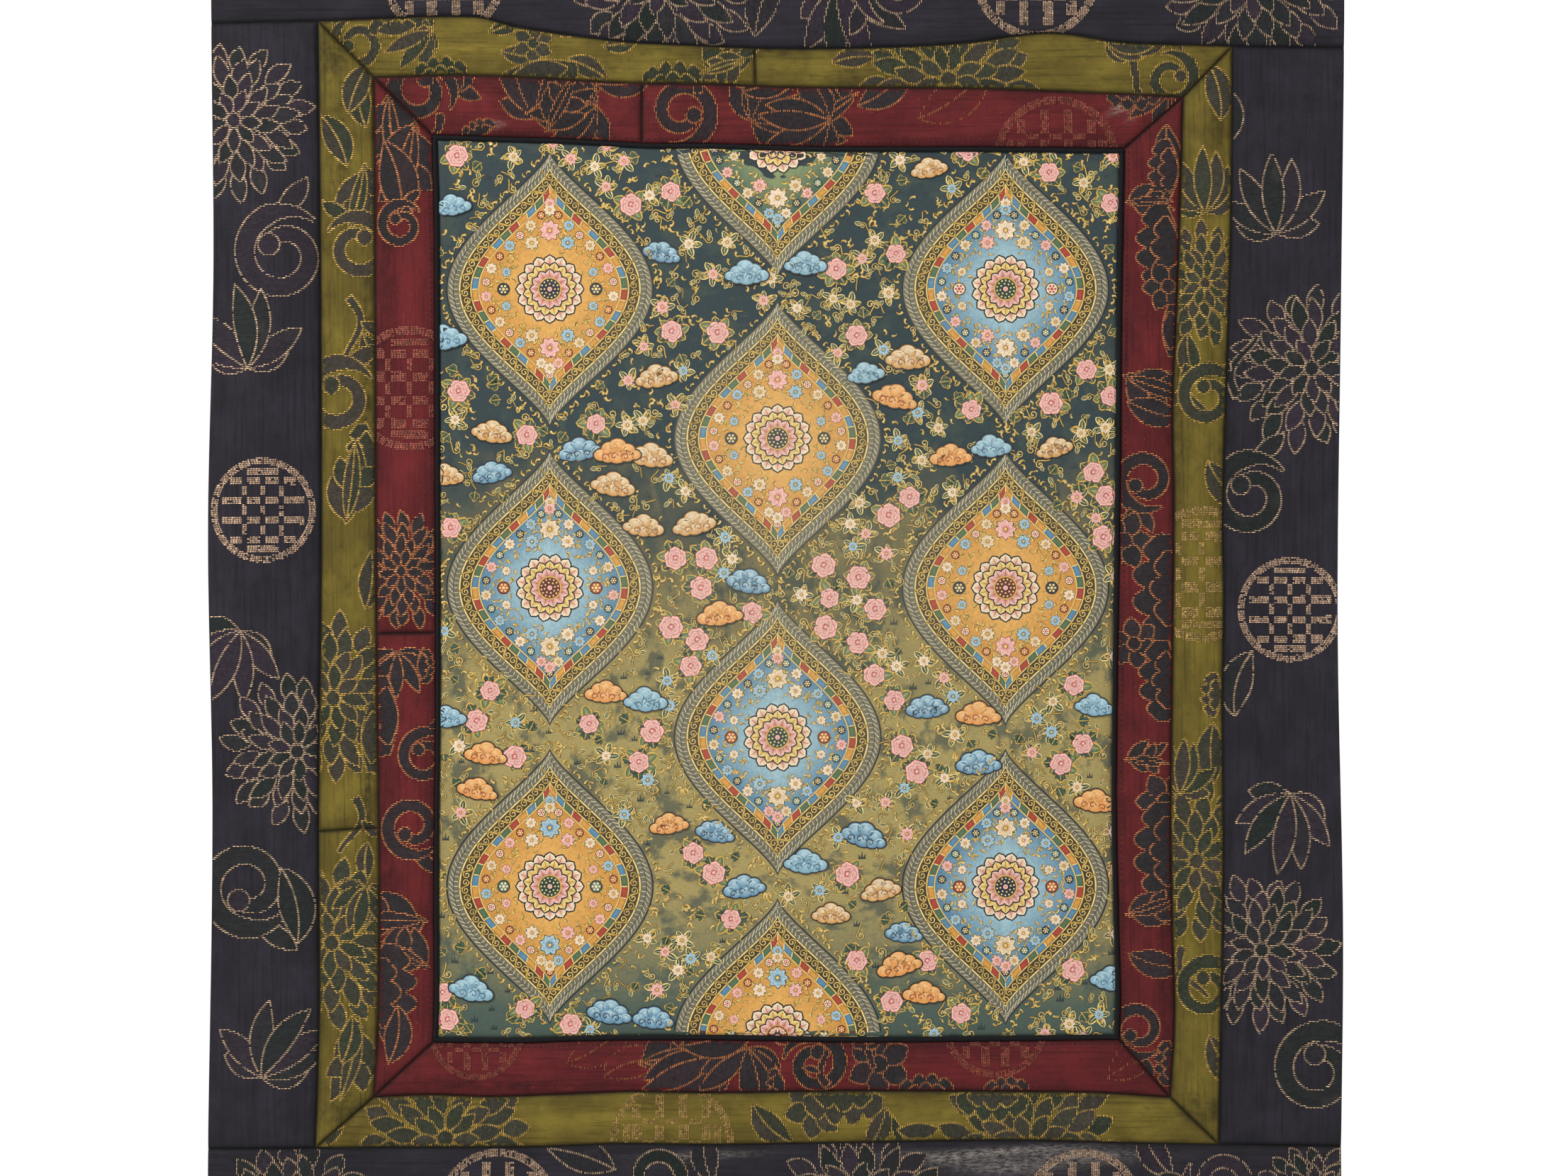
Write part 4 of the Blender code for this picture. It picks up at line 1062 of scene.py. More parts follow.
def make_lobes(size, rng):
    """A bank of scallops over a second, lower one."""
    size *= 1.25
    out = []
    for share, drop in ((1.0, 0.0), (0.72, -0.07)):
        count = 4 if share == 1.0 else 3
        p = np.linspace(0, 1, 60)
        top = size * share * (0.2 + 0.16 * np.abs(np.sin(pi * count * p)) ** 0.6)
        top = top * np.sin(pi * np.clip(p, 0.08, 0.92)) ** 0.35 + drop * size
        pts = np.concatenate([
            np.stack([p * size * share, top], -1),
            np.stack([p * size * share, -0.12 * size * np.sin(pi * p) - 0.02 * size], -1)[::-1],
        ])
        pts[:, 0] -= size * share / 2
        out.append(Part(bent(pts, rng.uniform(-0.35, 0.35) / size), 1, False))
    return out


def make_stem(size, rng):
    p = np.linspace(0, 1, 24)
    line = np.stack([p * size, size * 0.16 * np.sin(pi * p * 1.4)], -1)
    out = [Part(band(line, np.maximum(size * 0.13, 4.6) * (1 - 0.45 * p)), 1, False)]
    out.append(Part(moved(leaf_outline(size * 0.5, size * 0.2, 0.5, 0.5), *line[9], turn=50), 1, False))
    return out


def box_outline(x0, y0, x1, y1):
    return np.array([(x0, y0), (x1, y0), (x1, y1), (x0, y1)], float)


def make_roundel(size, rng):
    """A plain window lattice inside a ring, all in gold."""
    r = size
    out = []
    for i in range(24):  # the ring, in short arcs
        a = np.linspace(2 * pi * i / 24, 2 * pi * (i + 1) / 24 - 0.02, 5)
        arc = np.stack([np.cos(a), np.sin(a)], -1)
        out.append(Part(np.concatenate([arc * r, arc[::-1] * r * 0.87]), 0.4, True))
    w = 0.075
    for c in (-0.56, -0.19, 0.19, 0.56):
        reach = 0.80 * (1 - c * c * 1.25) ** 0.5
        for lo, hi in ((-reach, -0.40), (-0.30, -0.05), (0.05, 0.30), (0.40, reach)):
            if hi - lo > 0.08:
                out.append(Part(box_outline(c - w, lo, c + w, hi) * r, 0.4, True))
    for row in (-0.35, 0.0, 0.35):
        for c in (-0.375, 0.0, 0.375):
            out.append(Part(box_outline(c - 0.1, row - 0.045, c + 0.1, row + 0.045) * r, 0.4, True))
    for c in (-0.74, 0.74):
        out.append(Part(box_outline(c - 0.06, -0.3, c + 0.06, 0.3) * r, 0.4, True))
    return out


MAKERS = {
    "leaf": make_leaf, "spray": make_spray, "flower": make_flower, "blossom": make_blossom,
    "zig": make_zig, "curl": make_curl, "lobes": make_lobes, "stem": make_stem,
    "roundel": make_roundel,
}


def resampled(points, pitch=0.3):
    """The closed outline with points no further apart than the pitch."""
    closed = np.concatenate([points, points[:1]])
    far = np.hypot(*np.diff(closed, axis=0).T)
    out = []
    for p, q, d in zip(closed[:-1], closed[1:], far):
        n = max(1, int(np.ceil(d / pitch)))
        out.append(p + (q - p) * (np.arange(n) / n)[:, None])
    return np.concatenate(out)


Hues = namedtuple("Hues", "fill other gold solid")
BROCADE = {  # dark fills, gilt wefts along outlines, and gilt wefts in solid areas
    "navy": Hues((0.0120, 0.0175, 0.0150), (0.0270, 0.0185, 0.0290), (0.60, 0.41, 0.25), (0.50, 0.33, 0.22)),
    "olive": Hues((0.0300, 0.0370, 0.0210), (0.0480, 0.0400, 0.0300), (0.66, 0.41, 0.075), (0.42, 0.26, 0.07)),
    "maroon": Hues((0.0290, 0.0190, 0.0220), (0.0200, 0.0185, 0.0200), (0.66, 0.225, 0.065), (0.30, 0.070, 0.040)),
}
PICK = 0.95  # the wefts' spacing along a strip
LONGEST = 2.3  # a weft floats no further than this


def weave_figures(cloth, figures, family, fill_material, gold_material, longest=3.0):
    """The figures on one piece of cloth: dark fills, and gold wefts that float
    across the strip along each outline."""
    rng = np.random.default_rng(cloth.seed * 7 + 5)
    hues = BROCADE[family]
    spans = {}  # by pick: (t0, t1, order, tone, gold, hue), where it is filled
    edges = {}  # by pick: (t0, t1, order, tone), where its outline runs
    order = 0
    corners = np.concatenate([np.stack(line, -1) for line in cloth.lines])
    lo, hi = corners.min(0), corners.max(0)
    for f in figures:
        made = MAKERS[f.kind](f.size, np.random.default_rng(int(abs(f.x * 13 + f.z * 7)) + 3))
        for part in made:
            pts = part.points * (1, f.flip)
            pts = moved(pts, f.x, f.z, f.turn)
            order += 1
            if (pts.min(0) > hi).any() or (pts.max(0) < lo).any():
                continue
            pts = resampled(pts)
            hue = rng.uniform(0, 1)
            tone = part.tone * f.tone
            s, t = cloth.weave(pts[:, 0], pts[:, 1])
            k = np.floor(s / PICK).astype(int)
            k2, s2, t2 = np.roll(k, -1), np.roll(s, -1), np.roll(t, -1)
            hit = np.nonzero(k != k2)[0]
            if len(hit) < 2:
                continue
            line = np.maximum(k[hit], k2[hit])
            share = (line * PICK - s[hit]) / (s2[hit] - s[hit])
            cross = t[hit] + share * (t2[hit] - t[hit])
            for kk in np.unique(line):
                at = np.sort(cross[line == kk])
                for i in range(0, len(at) - 1, 2):
                    spans.setdefault(int(kk), []).append((at[i], at[i + 1], order, tone, part.gold, hue))
            if part.gold:
                continue
            # the outline's own stretches, half a pick to each side
            near = np.round(s / PICK).astype(int)
            turn = np.nonzero(near != np.roll(near, 1))[0]
            if not len(turn):
                continue
            near, tt = np.roll(near, -turn[0]), np.roll(t, -turn[0])
            starts = np.concatenate([[0], np.nonzero(np.diff(near))[0] + 1, [len(near)]])
            for a, b in zip(starts[:-1], starts[1:]):
                run = tt[a:b]
                edges.setdefault(int(near[a]), []).append((run.min(), run.max(), order, tone))
    fills, floats = [], []  # (s, t0, t1, tone, hue) rows
    for kk in sorted(set(spans) | set(edges)):
        rows = spans.get(kk, [])
        s = kk * PICK
        cuts = sorted({r[0] for r in rows} | {r[1] for r in rows})
        for a, b in zip(cuts[:-1], cuts[1:]):
            if b - a < 0.12:
                continue
            mid = (a + b) / 2
            over = [r for r in rows if r[0] <= mid <= r[1]]
            if not over:
                continue
            top = max(over, key=lambda r: r[2])
            if top[3] < 0.3 or top[4]:
                continue
            n = max(1, int(np.ceil((b - a) / longest)))
            for i in range(n):
                fills.append((s, a + (b - a) * i / n, a + (b - a) * (i + 1) / n, top[3], top[5]))
        wefts = []
        for r in rows:
            if r[4]:
                at = r[0]
                while at < r[1] - 0.2:
                    end = min(at + rng.uniform(1.0, 1.6), r[1])
                    if rng.random() > 0.05:
                        floats.append((s, at, end, 2.0, rng.uniform(0, 1)))
                    at = end + 0.14
        for a, b, order, tone in edges.get(kk, []):
            if tone < 0.3 and rng.random() < 0.4:
                continue
            extra = 0.48 * rng.uniform(0.8, 1.25)
            a, b = a - extra, b + extra
            n = max(1, int(np.ceil((b - a) / LONGEST)))
            for i in range(n):
                p, q = a + (b - a) * i / n, a + (b - a) * (i + 1) / n
                mid = (p + q) / 2
                if any(o[2] > order and o[0] + 0.3 < mid < o[1] - 0.3 for o in rows):
                    continue
                if rng.random() < 0.03:
                    continue
                wefts.append([p + (0.16 if n > 1 else 0), q - (0.16 if n > 1 else 0), tone])
        wefts.sort()
        merged = []
        for w in wefts:
            if merged and w[0] < merged[-1][1] and max(w[1], merged[-1][1]) - merged[-1][0] < 3.2:
                merged[-1][1] = max(merged[-1][1], w[1])
            elif merged and w[0] < merged[-1][1] + 0.12:
                if w[1] > merged[-1][1] + 0.5:
                    merged.append([merged[-1][1] + 0.15, w[1], w[2]])
            else:
                merged.append(list(w))
        for a, b, tone in merged:
            floats.append((s + rng.uniform(-0.05, 0.05), a, b, tone, rng.uniform(0, 1)))

    verts, quads, slots, tints, coords = [], [], [], [], []
    count = 0

    def add(s, t, lift, tint, slot):
        """Rows of (n, m) points: n ribbons of m points in two rails."""
        nonlocal count
        n, m = s.shape
        x, z = cloth.unweave(s, t)
        d = cloth.sewn_reach(x, z)
        h = cloth.front(x, z, d) + lift
        verts.append(in_space(x, z, h).reshape(-1, 3))
        tints.append(np.repeat(tint, m, 0))
        coords.append(np.stack([s, t, d], -1).reshape(-1, 3))
        half = m // 2
        base = count + (np.arange(n) * m)[:, None]
        i = np.arange(half - 1)[None, :]
        q = np.stack([base + i, base + i + 1, base + half + i + 1, base + half + i], -1)
        quads.append(q.reshape(-1, 4))
        slots.append(np.full(n * (half - 1), slot))
        count += n * m
        return x, z, d

    def kept(rows):
        """Only what lies inside the piece, short of its seams."""
        rows = np.array(rows).reshape(-1, 5)
        if not len(rows):
            return rows
        s, t = rows[:, 0], (rows[:, 1] + rows[:, 2]) / 2
        x, z = cloth.unweave(s, t)
        inside = cloth.inside(x, z, 0.35)
        return rows[inside]

    def clipped(rows, step_by):
        """Ribbons cut back at the seams."""
        rows = np.array(rows).reshape(-1, 5)
        if not len(rows):
            return rows
        out = []
        for _ in range(3):
            ends = []
            for e in (1, 2):
                x, z = cloth.unweave(rows[:, 0], rows[:, e])
                ends.append(cloth.inside(x, z, 0.3))
            rows = rows.copy()
            short = (rows[:, 2] - rows[:, 1]) * 0.34
            rows[~ends[0], 1] += short[~ends[0]]
            rows[~ends[1], 2] -= short[~ends[1]]
        good = rows[:, 2] - rows[:, 1] > step_by
        for e in (1, 2):
            x, z = cloth.unweave(rows[:, 0], rows[:, e])
            good &= cloth.inside(x, z, 0.22)
        return rows[good]

    rows = clipped(kept(fills), 0.1)
    if len(rows):
        s = np.stack([rows[:, 0] - PICK / 2, rows[:, 0] - PICK / 2, rows[:, 0] + PICK / 2, rows[:, 0] + PICK / 2], -1)
        t = np.stack([rows[:, 1], rows[:, 2], rows[:, 1], rows[:, 2]], -1)
        tone, hue = rows[:, 3:4], rows[:, 4:5]
        tint = np.array(hues.fill) * (1 - hue) + np.array(hues.other) * hue
        tint = tint * rng.uniform(0.85, 1.2, (len(rows), 1)) * (1.5 - 0.5 * tone)
        tint = np.concatenate([tint, tone], -1)
        add(s, t, 0.10, tint, 0)
    rows = clipped(kept(floats), 0.3)
    if len(rows):
        solid = rows[:, 3] > 1.5
        wide = np.where(solid, 0.36, 0.235) * rng.uniform(0.85, 1.12, len(rows))
        ts = [rows[:, 1], (rows[:, 1] + rows[:, 2]) / 2, rows[:, 2]]
        s = np.stack([rows[:, 0] - wide * k for k in (0.7, 1.1, 0.7)] + [rows[:, 0] + wide * k for k in (0.7, 1.1, 0.7)], -1)
        t = np.stack(ts + ts, -1)
        crown = np.array([0.02, 0.26, 0.02])
        lift = np.broadcast_to(np.concatenate([crown, crown]), s.shape)
        shade = rng.uniform(0.6, 1.2, (len(rows), 1)) * (0.45 + 0.55 * np.clip(rows[:, 3:4] * 1.6, 0, 1))
        tint = np.where(solid[:, None], np.array(hues.solid), np.array(hues.gold)) * shade
        tint = np.concatenate([tint, np.ones((len(rows), 1))], -1)
        add(s, t, lift + 0.08, tint, 1)
    if not count:
        return None
    return new_object(
        cloth.name + "_figures", np.concatenate(verts), np.concatenate(quads), (),
        (fill_material, gold_material), np.concatenate(slots), 0,
        {
            "tint": ("FLOAT_COLOR", np.concatenate(tints)),
            "weave": ("FLOAT_VECTOR", np.concatenate(coords)),
        },
    )


# ------------------------------------------------------------------ painted work
# A stamp is a small piece of flat painting: places, lifts, colours and triangles.
def srgb(text):
    """A linear colour from a hex one."""
    v = np.array([int(text[i:i + 2], 16) for i in (0, 2, 4)]) / 255.0
    return np.where(v <= 0.04045, v / 12.92, ((v + 0.055) / 1.055) ** 2.4)


BLACK, TEAL, KHAKI = srgb("1f1d22"), srgb("2c3c40"), srgb("a3935a")
GOLD, PALE_GOLD, DEEP_GOLD, OCHRE = srgb("d2a94a"), srgb("ecd488"), srgb("9a6f24"), srgb("c98f3e")
ORANGE, LIGHT_ORANGE, CREAM, FLESH = srgb("d98e42"), srgb("eec084"), srgb("efe0c0"), srgb("e6bfa0")
BLUE, LIGHT_BLUE, PALE_BLUE = srgb("4f7f9e"), srgb("7fafc6"), srgb("b4d2da")
PINK, PALE_PINK, ROSE, RED = srgb("d97d78"), srgb("f2c6ba"), srgb("b8474c"), srgb("a03a2c")
GREEN, DARK_GREEN, LIGHT_GREEN = srgb("4a6648"), srgb("27403a"), srgb("7e9468")
GREY, PALE_GREY, INK_BLUE = srgb("77725c"), srgb("d2ccae"), srgb("23283e")


class Stamp:
    def __init__(self):
        self.v, self.lift, self.col, self.tri, self.n = [], [], [], [], 0

    def _add(self, v, layer, col, tri):
        v = np.asarray(v, float)
        col = np.asarray(col, float)
        self.v.append(v)
        self.lift.append(np.full(len(v), float(layer)))
        self.col.append(np.broadcast_to(col, (len(v), 3)))
        self.tri.append(np.asarray(tri, int) + self.n)
        self.n += len(v)

    def fan(self, points, rim, middle=None, layer=0, centre=None):
        """A filled star-shaped outline, shaded from its middle to its rim."""
        points = np.asarray(points, float)
        n = len(points)
        c = points.mean(0) if centre is None else np.asarray(centre, float)
        i = np.arange(n)
        tri = np.stack([np.full(n, n), i, (i + 1) % n], -1)
        area = np.sum(points[:, 0] * np.roll(points[:, 1], -1) - points[:, 1] * np.roll(points[:, 0], -1))
        if area < 0:
            tri = tri[:, ::-1]
        cols = np.concatenate([
            np.broadcast_to(rim, (n, 3)), [rim if middle is None else middle]
        ])
        self._add(np.concatenate([points, [c]]), layer, cols, tri)
        return self

    def line(self, points, width, colour, layer=1, closed=False, end=None):
        """A brush line, its width one number or one for each point."""
        p = np.asarray(points, float)
        if closed:
            p = np.concatenate([p, p[:1]])
        d = np.gradient(p, axis=0)
        if closed:
            d[0] = d[-1] = p[1] - p[-2]
        d /= np.maximum(np.hypot(d[:, 0], d[:, 1]), 1e-9)[:, None]
        w = (np.broadcast_to(np.asarray(width, float), len(p)) / 2)[:, None]
        nrm = np.stack([-d[:, 1], d[:, 0]], -1) * w
        n = len(p)
        i = np.arange(n - 1)
        tri = np.concatenate([
            np.stack([i, i + n, i + 1], -1), np.stack([i + 1, i + n, i + n + 1], -1)
        ])
        cols = np.asarray(colour, float)
        if end is not None:
            f = np.linspace(0, 1, n)[:, None]
            cols = cols * (1 - f) + np.asarray(end) * f
            cols = np.concatenate([cols, cols])
        elif cols.ndim == 2:
            cols = np.concatenate([cols, cols])
        self._add(np.concatenate([p + nrm, p - nrm]), layer, cols, tri)
        return self

    def ready(self):
        if isinstance(self.v, list):
            self.v, self.lift = np.concatenate(self.v), np.concatenate(self.lift)
            self.col, self.tri = np.concatenate(self.col), np.concatenate(self.tri)
        return self


class Painting:
    """Stamps gathered into one mesh, held inside the edges of the canvas."""

    def __init__(self, name):
        self.name, self.parts, self.n = name, [], 0

    def put(self, stamp, x=0.0, z=0.0, size=1.0, turn=0.0, layer=0, flip=False, shade=1.0, tint=None):
        s = stamp.ready()
        v = s.v * ((-1, 1) if flip else (1, 1))
        tri = s.tri[:, ::-1] if flip else s.tri
        v = moved(v, x, z, turn, size)
        col = s.col * shade
        if tint is not None:
            col = col * tint
        self.parts.append((v, s.lift + layer, col, tri + self.n))
        self.n += len(v)

    def build(self, cloth, mat):
        v = np.concatenate([p[0] for p in self.parts])
        lift = np.concatenate([p[1] for p in self.parts])
        col = np.concatenate([p[2] for p in self.parts])
        tri = np.concatenate([p[3] for p in self.parts])
        x, z = v[:, 0], v[:, 1]
        (lx, lz), (rx, rz), (bx, bz), (tx, tz) = cloth.lines
        # trimmed where the canvas runs into its seams
        for _ in range(2):
            left, right = np.interp(z, lz[::-1], lx[::-1]), np.interp(z, rz[::-1], rx[::-1])
            if lz[0] < lz[-1]:
                left, right = np.interp(z, lz, lx), np.interp(z, rz, rx)
            x = np.clip(x, left + 0.35, right - 0.35)
            z = np.clip(z, np.interp(x, bx, bz) + 0.35, np.interp(x, tx, tz) - 0.35)
        a, b, c = (np.stack([x, z], -1)[tri[:, k]] for k in range(3))
        area = (b[:, 0] - a[:, 0]) * (c[:, 1] - a[:, 1]) - (b[:, 1] - a[:, 1]) * (c[:, 0] - a[:, 0])
        tri = tri[area > 1e-4]
        used = np.unique(tri)
        back = np.full(len(x), -1)
        back[used] = np.arange(len(used))
        tri = back[tri]
        x, z, lift, col = x[used], z[used], lift[used], col[used]
        d = cloth.sewn_reach(x, z)
        h = cloth.front(x, z, d) + 0.05 + 0.022 * lift
        s, t = cloth.weave(x, z)
        tint = np.concatenate([np.clip(col, 0, 1), np.ones((len(col), 1))], -1)
        return new_object(
            self.name, in_space(x, z, h), (), tri, (mat,), 0, 0,
            {
                "tint": ("FLOAT_COLOR", tint),
                "weave": ("FLOAT_VECTOR", np.stack([s, t, d], -1)),
            },
        )


def ellipse(rx, ry, count=12, x=0.0, y=0.0):
    a = np.linspace(0, 2 * pi, count, endpoint=False)
    return np.stack([x + rx * np.cos(a), y + ry * np.sin(a)], -1)


def petal(length, width, count=7, tip=1.0):
    """A round-ended petal from the origin along +x."""
    p = np.linspace(0, 1, count)
    w = np.sin(pi * np.clip(p, 0, 1) ** 1.35) ** 0.6 * width / 2
    w[-1] = 0
    up = np.stack([p * length, w], -1)
    low = np.stack([p * length, -w], -1)[-2:0:-1]
    return np.concatenate([up, low])[::-1]


def stamp_rose(seed):
    rng = np.random.default_rng(seed)
    s = Stamp()
    for k, (far, wide, count, near) in enumerate(((1.0, 0.86, 6, 0.2), (0.74, 0.66, 5, 0.1), (0.5, 0.5, 4, 0.0))):
        for i in range(count):
            turn = 360 * (i + 0.5 * (k % 2)) / count + rng.uniform(-9, 9)
            p = petal(far - near, wide, 5) + (near, 0)
            s.fan(moved(moved(p, size=1.09, x=-0.03), turn=turn), ROSE * 0.8, layer=k * 3)
            s.fan(moved(p, turn=turn), PALE_PINK, PINK * (0.95 - 0.1 * k), layer=k * 3 + 1,
                  centre=moved([[near + (far - near) * 0.45, 0]], turn=turn)[0])
    a = np.linspace(0, 4.4 * pi / 2, 12)
    s.line(np.stack([0.28 * (1 - a / 8.5) * np.cos(a), 0.28 * (1 - a / 8.5) * np.sin(a)], -1), 0.09, ROSE, 8)
    s.fan(ellipse(0.1, 0.1, 6), PALE_PINK, layer=9)
    return s


def stamp_leaf(fill=GREEN, light=LIGHT_GREEN, edge=GOLD, wide=0.4):
    s = Stamp()
    out = leaf_outline(1.0, wide + 0.16, 0.5, 0.6)[::3]
    inn = leaf_outline(0.9, wide, 0.45, 0.6)[::3] + (0.05, 0)
    s.fan(out, edge, layer=0)
    s.fan(inn, fill, light, layer=1)
    rib = bent(np.stack([np.linspace(0.05, 0.85, 5), np.zeros(5)], -1), 0.5)
    s.line(rib, [0.05, 0.05, 0.04, 0.03, 0.01], edge, 2)
    return s


def stamp_frond(fill=DARK_GREEN, light=GREEN, edge=GOLD):
    """A cut leaf of five lobes."""
    s = Stamp()
    lobes = ((0.0, 0.0, 1.0), (0.15, 48, 0.6), (0.15, -46, 0.62), (0.42, 40, 0.44), (0.42, -40, 0.42))
    for at, turn, size in lobes:
        leaf = leaf_outline(size, size * 0.42 + 0.1, 0.25, 0.8)[::3]
        s.fan(moved(leaf, x=at, turn=turn), edge, layer=0)
    for at, turn, size in lobes:
        leaf = leaf_outline(size * 0.88, size * 0.42, 0.25, 0.8)[::3] + (0.04, 0)
        s.fan(moved(leaf, x=at, turn=turn), fill, light, layer=1)
    s.line([(0.05, 0), (0.4, 0.02), (0.85, 0.05)], [0.06, 0.05, 0.02], edge, 2)
    return s


def stamp_cloud(main, light, dark, seed):
    rng = np.random.default_rng(seed)
    s = Stamp()
    lobes = ((-0.62, -0.08, 0.3), (-0.32, 0.16, 0.34), (0.06, 0.28, 0.36), (0.42, 0.1, 0.33),
             (0.72, -0.1, 0.24), (0.0, -0.12, 0.42), (-0.36, -0.18, 0.3), (0.4, -0.18, 0.3))
    lobes = [(x + rng.uniform(-0.04, 0.04), y + rng.uniform(-0.03, 0.03), r) for x, y, r in lobes]
    for x, y, r in lobes:
        s.fan(ellipse(r + 0.055, r * 0.8 + 0.055, 16, x, y), BLACK, layer=0)
    for k, (x, y, r) in enumerate(lobes):
        s.fan(ellipse(r, r * 0.8, 16, x, y), main, light, layer=1, centre=(x, y + r * 0.3))
    for x, y, r in lobes[:5]:
        a = np.linspace(0.15 * pi, 1.0 * pi, 9)
        s.line(np.stack([x + 0.78 * r * np.cos(a), y + 0.62 * r * np.sin(a)], -1),
               0.035 * np.sin(np.linspace(0.2, 3, 9)) + 0.012, light * 1.05, 3)
    for x, y, side in ((-0.12, -0.16, 1), (0.34, -0.2, -1), (-0.5, -0.2, 1)):
        a = np.linspace(0, 3.2 * pi / 1.6, 12)
        r = 0.17 * (1 - a / 8.0)
        s.line(np.stack([x + side * r * np.cos(a), y + r * np.sin(a)], -1), 0.035, dark, 4)
    return s


def stamp_flame(colour=PALE_GOLD, under=DEEP_GOLD, curl=2.4):
    s = Stamp()
    p = np.linspace(0, 1, 6)
    a = curl * p * p
    x = np.cumsum(np.cos(a)) / 6
    y = np.cumsum(np.sin(a)) / 6
    line = np.stack([x, y], -1)
    width = 0.24 * (1 - p) ** 0.7 + 0.03
    s.line(line - (0.03, 0.05), width * 1.25, under, 0)
    s.line(line, width * 0.8, colour, 1, end=GOLD)
    return s


def stamp_coil(colour=GOLD, under=BLACK, turns=1.35, count=11):
    s = Stamp()
    a = np.linspace(0, 2 * pi * turns, count)
    r = 0.5 * (1 - 0.8 * a / a[-1])
    line = np.stack([r * np.cos(a), r * np.sin(a)], -1)
    tail = np.array([(0.95, -0.72), (0.72, -0.42)])
    line = np.concatenate([tail, line])
    s.line(line, 0.2, under, 0)
    s.line(line, 0.12, colour, 1, end=PALE_GOLD)
    return s


def stamp_disc(rim, mid, dot, edge=BLACK, dots=6):
    s = Stamp()
    s.fan(ellipse(1.08, 1.08, 12), edge, layer=0)
    s.fan(ellipse(0.92, 0.92, 12), rim, mid, layer=1)
    for i in range(dots):
        a = 2 * pi * i / dots
        s.fan(ellipse(0.2, 0.2, 6, 0.56 * cos(a), 0.56 * sin(a)), dot, layer=2)
    s.fan(ellipse(0.26, 0.26, 7), dot, layer=2)
    return s


def stamp_bloom(main, light, edge, count=8, heart=GOLD):
    """An open flower with an outlined ring of petals."""
    s = Stamp()
    for k, (far, wide, rot) in enumerate(((1.0, 0.5, 0), (0.68, 0.42, 0.5))):
        for i in range(count):
            turn = 360 * (i + rot) / count
            p = petal(far - 0.1, wide, 4) + (0.1, 0)
            if k == 0:
                s.fan(moved(p * 1.09, turn=turn), edge, layer=0)
            s.fan(moved(p, turn=turn), light, main, layer=3 * k + 1,
                  centre=moved([[0.35 * far, 0]], turn=turn)[0])
    s.fan(ellipse(0.25, 0.25, 7), edge, layer=7)
    s.fan(ellipse(0.19, 0.19, 7), heart, PALE_GOLD, layer=8)
    return s


def stamp_tuft():
    s = Stamp()
    for x, h, lean in ((-0.3, 0.6, -0.2), (0.0, 1.0, 0.0), (0.3, 0.65, 0.22)):
        s.fan([(x - 0.16, 0), (x + 0.16, 0), (x + lean, h)], TEAL * 0.7, layer=0)
    s.fan([(-0.6, -0.12), (0.6, -0.12), (0.5, 0.06), (-0.5, 0.06)], TEAL * 0.8, layer=0)
    return s


def stamp_lotus(outer, inner, heart):
    """A large rosette: three rings of outlined petals round a beaded heart."""
    s = Stamp()
    rings = ((1.0, 0.62, 16, outer, CREAM), (0.8, 0.42, 16, OCHRE, PALE_GOLD), (0.6, 0.26, 12, inner, PALE_PINK))
    for k, (far, near, count, dark, light) in enumerate(rings):
        for i in range(count):
            turn = 360 * (i + 0.5 * (k % 2)) / count
            p = petal(far - near + 0.12, 2 * pi * far / count * 0.98, 7) + (near - 0.12, 0)
            c = moved([[near + (far - near) * 0.2, 0]], turn=turn)[0]
            s.fan(moved(p, turn=turn), BLACK, layer=k * 4)
            q = petal(far - near + 0.08, 2 * pi * far / count * 0.8, 7) + (near - 0.12, 0)
            s.fan(moved(q, turn=turn), light, dark, layer=k * 4 + 1, centre=c)
            rib = moved([(near, 0), (far * 0.9, 0)], turn=turn)
            s.line(rib, 0.018, DEEP_GOLD, k * 4 + 2)
    s.fan(ellipse(0.34, 0.34, 28), GOLD, layer=12)
    s.fan(ellipse(0.3, 0.3, 28), heart, heart * 0.6, layer=13)
    for r, count, size in ((0.245, 14, 0.026), (0.15, 8, 0.026)):
        for i in range(count):
            a = 2 * pi * i / count
            s.fan(ellipse(size, size, 6, r * cos(a), r * sin(a)), PALE_GOLD, layer=14)
    s.fan(ellipse(0.07, 0.07, 8), PALE_PINK, PINK, layer=14)
    return s


# where the painted work lies: an ogee lattice, three columns in half drop
Ogee = namedtuple("Ogee", "x z field heart")
OGEE_WIDE, OGEE_HIGH = 55.0, 73.0
OGEES = (
    Ogee(-120.5, -283, "ochre", "blue"), Ogee(-120.5, -441, "blue", "red"), Ogee(-120.5, -599, "ochre", "green"),
    Ogee(0, -204, "green", "red"), Ogee(0, -362, "ochre", "blue"), Ogee(0, -520, "blue", "green"),
    Ogee(0, -678, "ochre", "red"),
    Ogee(120.5, -283, "blue", "green"), Ogee(120.5, -441, "ochre", "red"), Ogee(120.5, -599, "blue", "blue"),
)


def ogee_line(k, count):
    """The outline of an ogee at scale k, its points evenly spaced."""
    p = np.linspace(0, 1, 90)
    x = OGEE_WIDE * np.sin(pi * p / 2) ** 1.3
    z = OGEE_HIGH * (1 - p)
    quarter = np.stack([x, z], -1)
    half = np.concatenate([quarter, quarter[-2::-1] * (1, -1)])
    loop = np.concatenate([half, half[-2::-1] * (-1, 1)])
    loop = loop[::-1] * k  # counter-clockwise
    far = np.concatenate([[0], np.cumsum(np.hypot(*np.diff(loop, axis=0).T))])
    at = np.linspace(0, far[-1], count, endpoint=False)
    return np.stack([np.interp(at, far, loop[:, 0]), np.interp(at, far, loop[:, 1])], -1)


